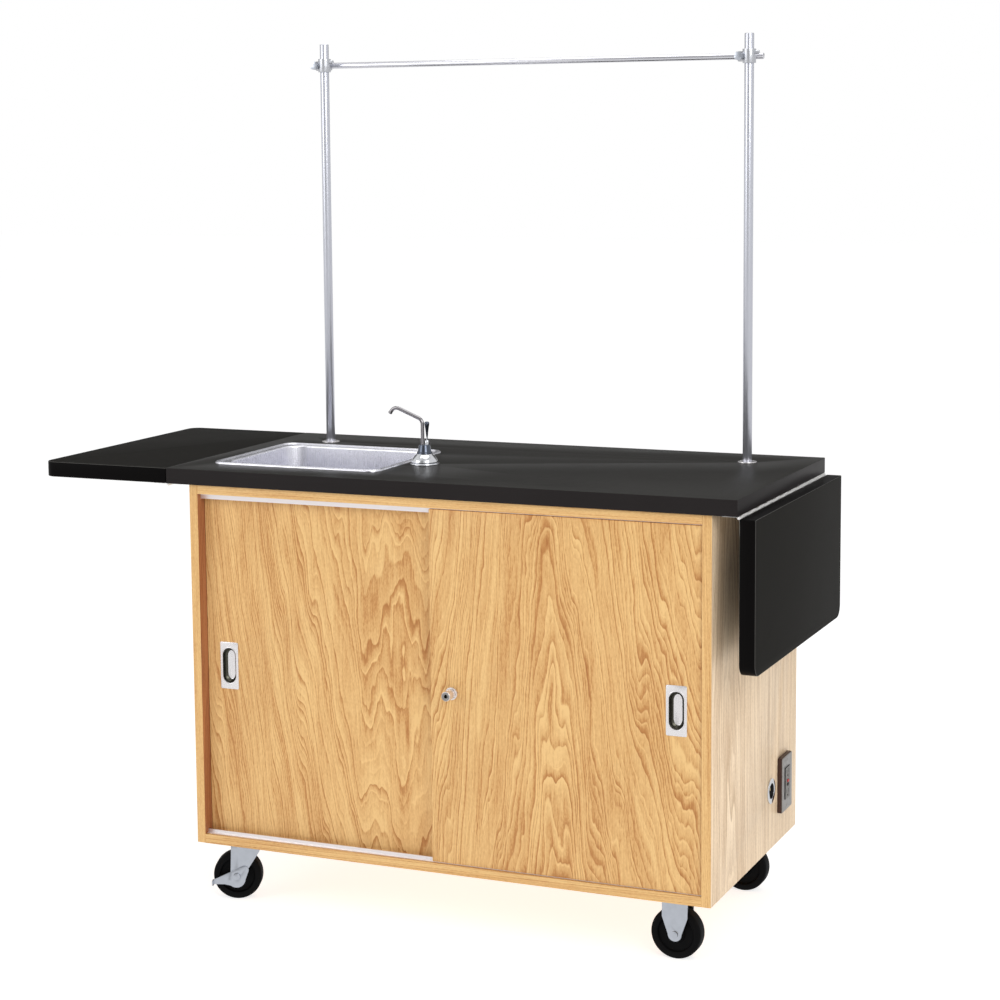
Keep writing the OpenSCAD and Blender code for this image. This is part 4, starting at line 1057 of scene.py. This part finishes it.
# The rim's rolled bead: how far in from the rim's outer edge, and how high over the worktop. The
# crest gives how far it lies under the rim's height.
BEAD_START = 0.0003
BEAD_UP = ((0.0002, 0.0016), (0.0009, 0.0031), (0.0021, 0.0042))
BEAD_CREST = (0.0036, 0.0004)
BEAD_DOWN = ((0.0052, 0.0042), (0.0066, 0.0030), (0.0078, 0.0016), (0.0092, 0.0010))
CORNER_ROUND = 0.004
DRAIN_RADIUS = 0.022


class BENCH_OT_sink(PieceOperator):
    """The stainless sink and its drain"""

    bl_idname = "bench.sink"
    bl_label = "Sink"

    def bowl(self, sizes, centre, half, floor, level):
        """The bowl's inner face, open at its top."""
        piece = block(
            "sink_bowl", (centre.x - half.x, centre.y - half.y, floor),
            (centre.x + half.x, centre.y + half.y, level),
        )
        pick(piece, "EDGE", lambda a, b: abs(a.z - b.z) > 0.05)
        bevel_edges(sizes.corner, 10)
        pick(piece, "FACE", lambda place, normal: normal.z > 0.9)
        bpy.ops.mesh.delete(type="FACE")
        pick(piece, "EDGE", lambda a, b: a.z < floor + 0.001 and b.z < floor + 0.001)
        bevel_edges(sizes.floor_round, 8)
        done()
        return piece

    def rim(self, sizes, centre, edge, bead):
        """The rim, drawn in from its outer edge over the rolled bead."""
        rim = added(
            "sink_rim", bpy.ops.mesh.primitive_plane_add, size=1,
            location=(centre.x, centre.y, TOP + BEAD_START),
        )
        rim.scale = (edge.x * 2, edge.y * 2, 1)
        settle(rim)
        edit(rim)
        bpy.ops.mesh.bevel(offset=sizes.rim_corner, segments=10, affect="VERTICES")
        select_all()
        bpy.ops.mesh.delete(type="ONLY_FACE")
        select_all()
        inset, lift = 0.0, BEAD_START
        for reach, rise in bead:
            extrude(0, 0, rise - lift)
            bpy.ops.transform.resize(
                value=((edge.x - reach) / (edge.x - inset), (edge.y - reach) / (edge.y - inset), 1),
                center_override=(centre.x, centre.y, TOP + rise),
            )
            inset, lift = reach, rise
        done()
        return rim

    def execute(self, context):
        sizes = context.scene.bench_sink
        centre = middle("sink_basin")
        span = high("sink_basin") - low("sink_basin")
        edge = Vector((span.x / 2, span.y / 2))
        floor = low("sink_basin").z + SINK_SHEET / 2
        level = TOP + BOWL_LEVEL
        half = edge - Vector((sizes.rim_width, sizes.rim_width))
        crest = (BEAD_CREST[0], sizes.rim_height - BEAD_CREST[1])
        bead = (*BEAD_UP, crest, *BEAD_DOWN)
        bowl = self.bowl(sizes, centre, half, floor, level)
        piece = joined("sink_bowl", [bowl, self.rim(sizes, centre, edge, bead)])
        # the rim's inner edge and the bowl's upper one are bridged, and the corner is rounded
        inset, lift = bead[-1]
        inner = edge - Vector((inset, inset))

        def is_open(place):
            on_rim = (
                abs(place.z - TOP - lift) < HAIR
                and abs(place.x - centre.x) < inner.x + 0.0003
                and abs(place.y - centre.y) < inner.y + 0.0003
            )
            return on_rim or abs(place.z - level) < HAIR

        pick(piece, "EDGE", lambda a, b: is_open(a) and is_open(b) and abs(a.z - b.z) < HAIR)
        bpy.ops.mesh.bridge_edge_loops()
        pick(piece, "EDGE", lambda a, b: abs(a.z - level) < HAIR and abs(b.z - level) < HAIR)
        bevel_edges(CORNER_ROUND, 4)
        face_out()
        done()
        if min(piece.data.polygons, key=lambda face: face.center.z).normal.z < 0:
            flip(piece)
        fixed(piece, "SOLIDIFY", thickness=SINK_SHEET, offset=-1)
        ends = ((centre.x, centre.y, floor + side * 0.02) for side in (-1, 1))
        cut(piece, rod("drain_cutter", *ends, DRAIN_RADIUS))
        smooth(piece, 40)
        finish_piece(piece, "bench", "sink_steel")
        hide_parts("sink_basin")
        dress("sink_drain", "bench", "chrome_plate", 0.0004)
        return {"FINISHED"}


# The faucet's turned forms: radius and height pairs. The bell's go up from the shank's upper
# part over the nut and the foot, the others from their own base.
BELL = (
    (0.009, -0.0585), (0.0152, -0.0585), (0.016, -0.0577), (0.016, -0.0515), (0.0152, -0.0507),
    (0.009, -0.0507), (0.009, 0.0), (0.0290, 0.0), (0.0299, 0.0006), (0.03, 0.0016),
    (0.0295, 0.0026), (0.0284, 0.0031), (0.0266, 0.0032), (0.0262, 0.0036), (0.027, 0.0042),
    (0.0272, 0.0052), (0.0267, 0.0078), (0.0254, 0.0108), (0.0232, 0.0142), (0.0204, 0.0174),
    (0.0178, 0.0198), (0.0164, 0.0214), (0.0161, 0.0224),
)
COLLAR = (
    (0.0, 0.0), (0.0158, 0.0), (0.0163, 0.0008), (0.0161, 0.0026), (0.0154, 0.0038),
    (0.0147, 0.0048), (0.0142, 0.0062), (0.0129, 0.0120), (0.0117, 0.0180), (0.0113, 0.0194),
    (0.0106, 0.0200), (0.0, 0.0200),
)
BOSS = (
    (0.0, 0.0), (0.0045, 0.0), (0.0045, 0.0082), (0.0042, 0.0089), (0.0036, 0.0093), (0.0, 0.0094)
)
KNOB = (
    (0.0, -0.0026), (0.0012, -0.0024), (0.0017, -0.0014), (0.0018, 0.0), (0.0017, 0.0080),
    (0.0019, 0.0120), (0.0026, 0.0200), (0.0036, 0.0280), (0.0046, 0.0345), (0.0051, 0.0380),
    (0.0050, 0.0398), (0.0043, 0.0412), (0.0030, 0.0420), (0.0014, 0.0424), (0.0, 0.0425),
)
# Heights over the worktop, the lever's place beside the bell's axis, and the height above which the
# knob is painted dark as a painted reflection
COLLAR_BASE = 0.021
BOSS_BASE = 0.0405
LEVER_PIN = 0.046
LEVER_ASIDE = 0.006
LEVER_SLOT_HALF = 0.0019
KNOB_DARK = 0.0120
# The spout's tube: its radius, where its riser starts and ends, and the riser's distance from
# the spout's right end
TUBE_RADIUS = 0.0038
TUBE_START = 0.0135
TUBE_BEND = 0.082
RISER_INSET = 0.00475
# The nozzle's steps along the tube, and the width of each over the step before it
NOZZLE = ((0.0004, 1.1), (0.0024, 1.0), (0.0003, 0.93), (0.0, 0.78), (-0.006, 1.0))


class BENCH_OT_faucet(PieceOperator):
    """The faucet: turned bell, bent spout and lever"""

    bl_idname = "bench.faucet"
    bl_label = "Faucet"

    def base(self, x, y, riser):
        """The threaded shank and nut under the top, then the foot, the bell and the collar."""
        foot = low("faucet_base").z - TOP
        shank = ((0.0, foot), (0.0086, foot), (0.009, foot + 0.0006))
        bell = turned("faucet_bell", (x, y, TOP), (*shank, *BELL), 64)
        collar = turned("faucet_collar", (x, y, TOP + COLLAR_BASE), COLLAR)
        boss = turned("lever_boss", (x + LEVER_ASIDE, y, TOP + BOSS_BASE), BOSS, 32)
        cut(boss, block(
            "lever_slot", (x, y - LEVER_SLOT_HALF, TOP + 0.042),
            (x + 0.012, y + LEVER_SLOT_HALF, TOP + 0.06),
        ))
        ends = ((riser, y, TOP + height) for height in (0.012, 0.08))
        cut(collar, rod("riser_hole", *ends, TUBE_RADIUS + 0.0003))
        # the collar's darker chrome is a painted dark reflection
        for piece in (bell, collar, boss):
            piece.data.materials.append(made("dark_chrome" if piece == collar else "chrome_plate"))
        return smooth(joined("faucet_body", [bell, collar, boss]), 40)

    def execute(self, context):
        centre = middle("faucet_base")
        riser = high("faucet_spout").x - RISER_INSET
        base = self.base(centre.x, centre.y, riser)
        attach(base, "bench")
        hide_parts("faucet_base")
        spout = self.spout(riser, middle("faucet_spout").y)
        # the spout's darker chrome is painted shade
        finish_piece(spout, "faucet_spout", "pipe_chrome")
        # lever: a stem that flares to a rounded knob
        pin = TOP + LEVER_PIN
        lever = turned("lever_knob", (centre.x + LEVER_ASIDE, centre.y, pin), KNOB, 32)
        lever.data.materials.append(made("chrome_plate"))
        # the knob's upper part is painted dark as a painted reflection
        coat(lever, "dark_chrome", lambda place, normal: place.z > pin + KNOB_DARK)
        smooth(lever, 60)
        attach(lever, "faucet_lever")
        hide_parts("faucet_lever")
        finish_node("supply_pipe", "chrome_plate")
        return {"FINISHED"}

    def spout(self, x, y, bend=0.014, slope=22, run=0.048, tip=76):
        """The tube: riser, bend, sloping run, and a tip that turns down to a flared nozzle."""
        place, along = Vector((x, y, TOP + TUBE_START)), Vector((0, 0, 1))
        tube = settle(added(
            "spout_tube", bpy.ops.mesh.primitive_circle_add, vertices=32, radius=TUBE_RADIUS,
            location=place,
        ))
        edit(tube)
        for length, turn in ((TUBE_BEND - TUBE_START, 90 - slope), (run, tip), (0.004, 0)):
            extrude(*(along * length))
            place = place + along * length
            if turn:
                side = Matrix.Rotation(math.radians(-90), 3, "Y") @ along
                centre = place + side * bend
                bpy.ops.mesh.spin(
                    steps=12, angle=math.radians(turn), center=centre, axis=(0, 1, 0)
                )
                swing = Matrix.Rotation(math.radians(-turn), 3, "Y")
                place = centre + swing @ (place - centre)
                along = swing @ along
        for length, width in NOZZLE:
            extrude(*(along * length))
            place = place + along * length
            if width != 1.0:
                bpy.ops.transform.resize(value=(width, width, width), center_override=place)
        bpy.ops.mesh.edge_face_add()
        select_all()
        bpy.ops.mesh.remove_doubles(threshold=0.000005)
        face_out()
        done()
        smooth(tube, 45)
        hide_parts("faucet_spout")
        return tube


class BENCH_OT_rod_rack(PieceOperator):
    """The upright rods, the crossbar, their sockets and clamps"""

    bl_idname = "bench.rod_rack"
    bl_label = "Rod Rack"

    def execute(self, context):
        dress("rod_sockets", "bench", "bright_steel")
        dress("upright_rods", "bench", "satin_aluminium")
        dress("crossbar", "crossbar", "bright_aluminium")
        dress("crossbar_clamps", "crossbar", "cast_clamp", 0.0012, 3)
        for node in ("left_clamp_screw", "right_clamp_screw"):
            dress(node, node, "zinc_plate", 0.0004)
        return {"FINISHED"}


# The power inlet, seen from the right: the radii of its black insert and of its brass contacts,
# whose brightness is partly a painted highlight, and their depths behind the inlet's face
INSERT_RADIUS = 0.0185
CONTACT_RADIUS = 0.0125
INSERT_DEPTHS = (0.03, 0.0009)
CONTACT_DEPTHS = (0.0105, 0.001)


class BENCH_OT_outlet(PieceOperator):
    """The outlet with its plate, buttons and box, and the power inlet"""

    bl_idname = "bench.outlet"
    bl_label = "Outlet and Inlet"

    def inlet(self):
        """The inlet's shell, with its black insert and its brass contacts."""
        inlet = dress("power_inlet", "bench", "chrome_plate", 0.0004)
        centre, face = middle("power_inlet"), high("power_inlet").x

        def within(place, radius, depths):
            deepest, shallowest = depths
            away = math.hypot(place.y - centre.y, place.z - centre.z)
            return face - deepest < place.x < face - shallowest and away < radius

        def is_contact(place, normal):
            on_side = within(place, CONTACT_RADIUS, INSERT_DEPTHS) and abs(normal.x) < 0.7
            return on_side or within(place, CONTACT_RADIUS, CONTACT_DEPTHS)

        coat(inlet, "black_plastic",
             lambda place, normal: within(place, INSERT_RADIUS, INSERT_DEPTHS))
        # the contacts' pale brass is partly a painted highlight
        coat(inlet, "brass", is_contact)

    def execute(self, context):
        dress("outlet_box", "bench", "brown_plastic", 0.0008)
        dress("outlet_plate", "bench", "speckled_steel", 0.0005)
        receptacle = dress("outlet_receptacle", "bench", "black_plastic", 0.0003)
        # the receptacle's sides and slots stay black as painted shade around its grey front face
        front = high("outlet_receptacle").x - 0.0002
        coat(receptacle, "grey_plastic", lambda place, normal: normal.x > 0.9 and place.x > front)
        dress("test_button", "test_button", "black_plastic", 0.0003)
        dress("reset_button", "reset_button", "red_plastic", 0.0003)
        self.inlet()
        finish_node("wiring_conduit", "zinc_plate")
        return {"FINISHED"}


class BENCH_OT_water_tanks(PieceOperator):
    """The waste and fresh water tanks and their caps"""

    bl_idname = "bench.water_tanks"
    bl_label = "Water Tanks"

    def execute(self, context):
        dress("water_tanks", "bench", "white_plastic", 0.006, 4)
        dress("tank_caps", "bench", "blue_plastic", 0.0008)
        return {"FINISHED"}


# The casters: half their width, how far a fork's outer face stands out from the wheel's side, the
# radius of the axle's head, the height of the ball race under the plate's top, and the brake's
# screw, which stands beside the wheel's axle and is turned aside with its fork
CASTER_HALF = 0.04
LEG_OUT = 0.0038
AXLE_HEAD_RADIUS = 0.0085
RACE_DROP = 0.0034
SCREW_RADIUS = 0.0046
SCREW_ASIDE = 0.015
SCREW_DROP = 0.009
FORK_TURN = math.radians(20)


class BENCH_OT_casters(PieceOperator):
    """Forks, plates, brakes and wheels"""

    bl_idname = "bench.casters"
    bl_label = "Casters"

    def near(self, place, centre, reach):
        """Tells whether a place is beside a centre, seen along the axle."""
        away = math.hypot(place.x - centre.x, place.z - centre.z)
        return abs(place.y - centre.y) < CASTER_HALF and away < reach

    def axle_heads(self, fork):
        """Paints the sides of the axles' heads dark, as painted shade."""
        half_wheel = (high("front_right_wheel").y - low("front_right_wheel").y) / 2
        for hub in (middle(wheel) for wheel in WHEELS):
            coat(fork, "dark_steel", lambda place, normal: (
                self.near(place, hub, AXLE_HEAD_RADIUS)
                and abs(place.y - hub.y) > half_wheel + LEG_OUT and abs(normal.y) < 0.6
            ))

    def brake_screw(self, brake, hub, turn):
        """Gives the brake's screw a painted highlight on its head and painted shade on its sides.
        """
        screw = hub + Vector(
            (-SCREW_ASIDE * math.cos(turn), -SCREW_ASIDE * math.sin(turn), -SCREW_DROP)
        )
        coat(brake, "bright_steel", lambda place, normal: self.near(place, screw, SCREW_RADIUS))
        coat(brake, "dark_steel",
             lambda place, normal: self.near(place, screw, SCREW_RADIUS) and abs(normal.y) < 0.6)

    def execute(self, context):
        pieces = {}
        for node, body in (
            ("swivel_plates", "bench"), ("rigid_forks", "bench"),
            ("front_left_fork", "front_left_fork"), ("rear_left_fork", "rear_left_fork"),
            ("front_left_brake", "front_left_brake"), ("rear_left_brake", "rear_left_brake"),
        ):
            pieces[node] = dress(node, body, "zinc_plate", 0.0008)
        race = high("swivel_plates").z - RACE_DROP
        coat(pieces["swivel_plates"], "dark_bronze", lambda place, normal: place.z < race)
        for node in ("rigid_forks", "front_left_fork", "rear_left_fork"):
            self.axle_heads(pieces[node])
        self.brake_screw(pieces["front_left_brake"], middle("front_left_wheel"), FORK_TURN)
        self.brake_screw(pieces["rear_left_brake"], middle("rear_left_wheel"), -FORK_TURN)
        finish_node("caster_bolts", "zinc_plate")
        for node in WHEELS:
            dress(node, node, "black_rubber", 0.0004)
        return {"FINISHED"}


GROUPS = {
    "bench_wood": BenchWood, "bench_top": BenchTop, "bench_sink": BenchSink,
    "bench_pull": BenchPull, "bench_stage": BenchStage,
}
OPERATORS = (
    BENCH_OT_stage, BENCH_OT_cabinet, BENCH_OT_doors, BENCH_OT_worktop, BENCH_OT_sink,
    BENCH_OT_faucet, BENCH_OT_rod_rack, BENCH_OT_outlet, BENCH_OT_water_tanks, BENCH_OT_casters,
)


class BENCH_PT_panel(bpy.types.Panel):
    """Lists the bench's sizes, colours and pieces"""

    bl_idname = "BENCH_PT_panel"
    bl_label = "Laboratory Bench"
    bl_space_type = "VIEW_3D"
    bl_region_type = "UI"
    bl_category = "Bench"

    def draw(self, context):
        layout = self.layout
        for name, group in GROUPS.items():
            for key in group.__annotations__:
                layout.prop(getattr(context.scene, name), key)
        for operator in OPERATORS:
            layout.operator(operator.bl_idname)


def register():
    for item in (*GROUPS.values(), *OPERATORS, BENCH_PT_panel):
        bpy.utils.register_class(item)
    for name, group in GROUPS.items():
        setattr(bpy.types.Scene, name, PointerProperty(type=group))


def unregister():
    for name in GROUPS:
        delattr(bpy.types.Scene, name)
    for item in reversed((*GROUPS.values(), *OPERATORS, BENCH_PT_panel)):
        bpy.utils.unregister_class(item)


def main():
    register()
    for operator in OPERATORS:
        group, name = operator.bl_idname.split(".")
        getattr(getattr(bpy.ops, group), name)()


if __name__ == "__main__":
    main()
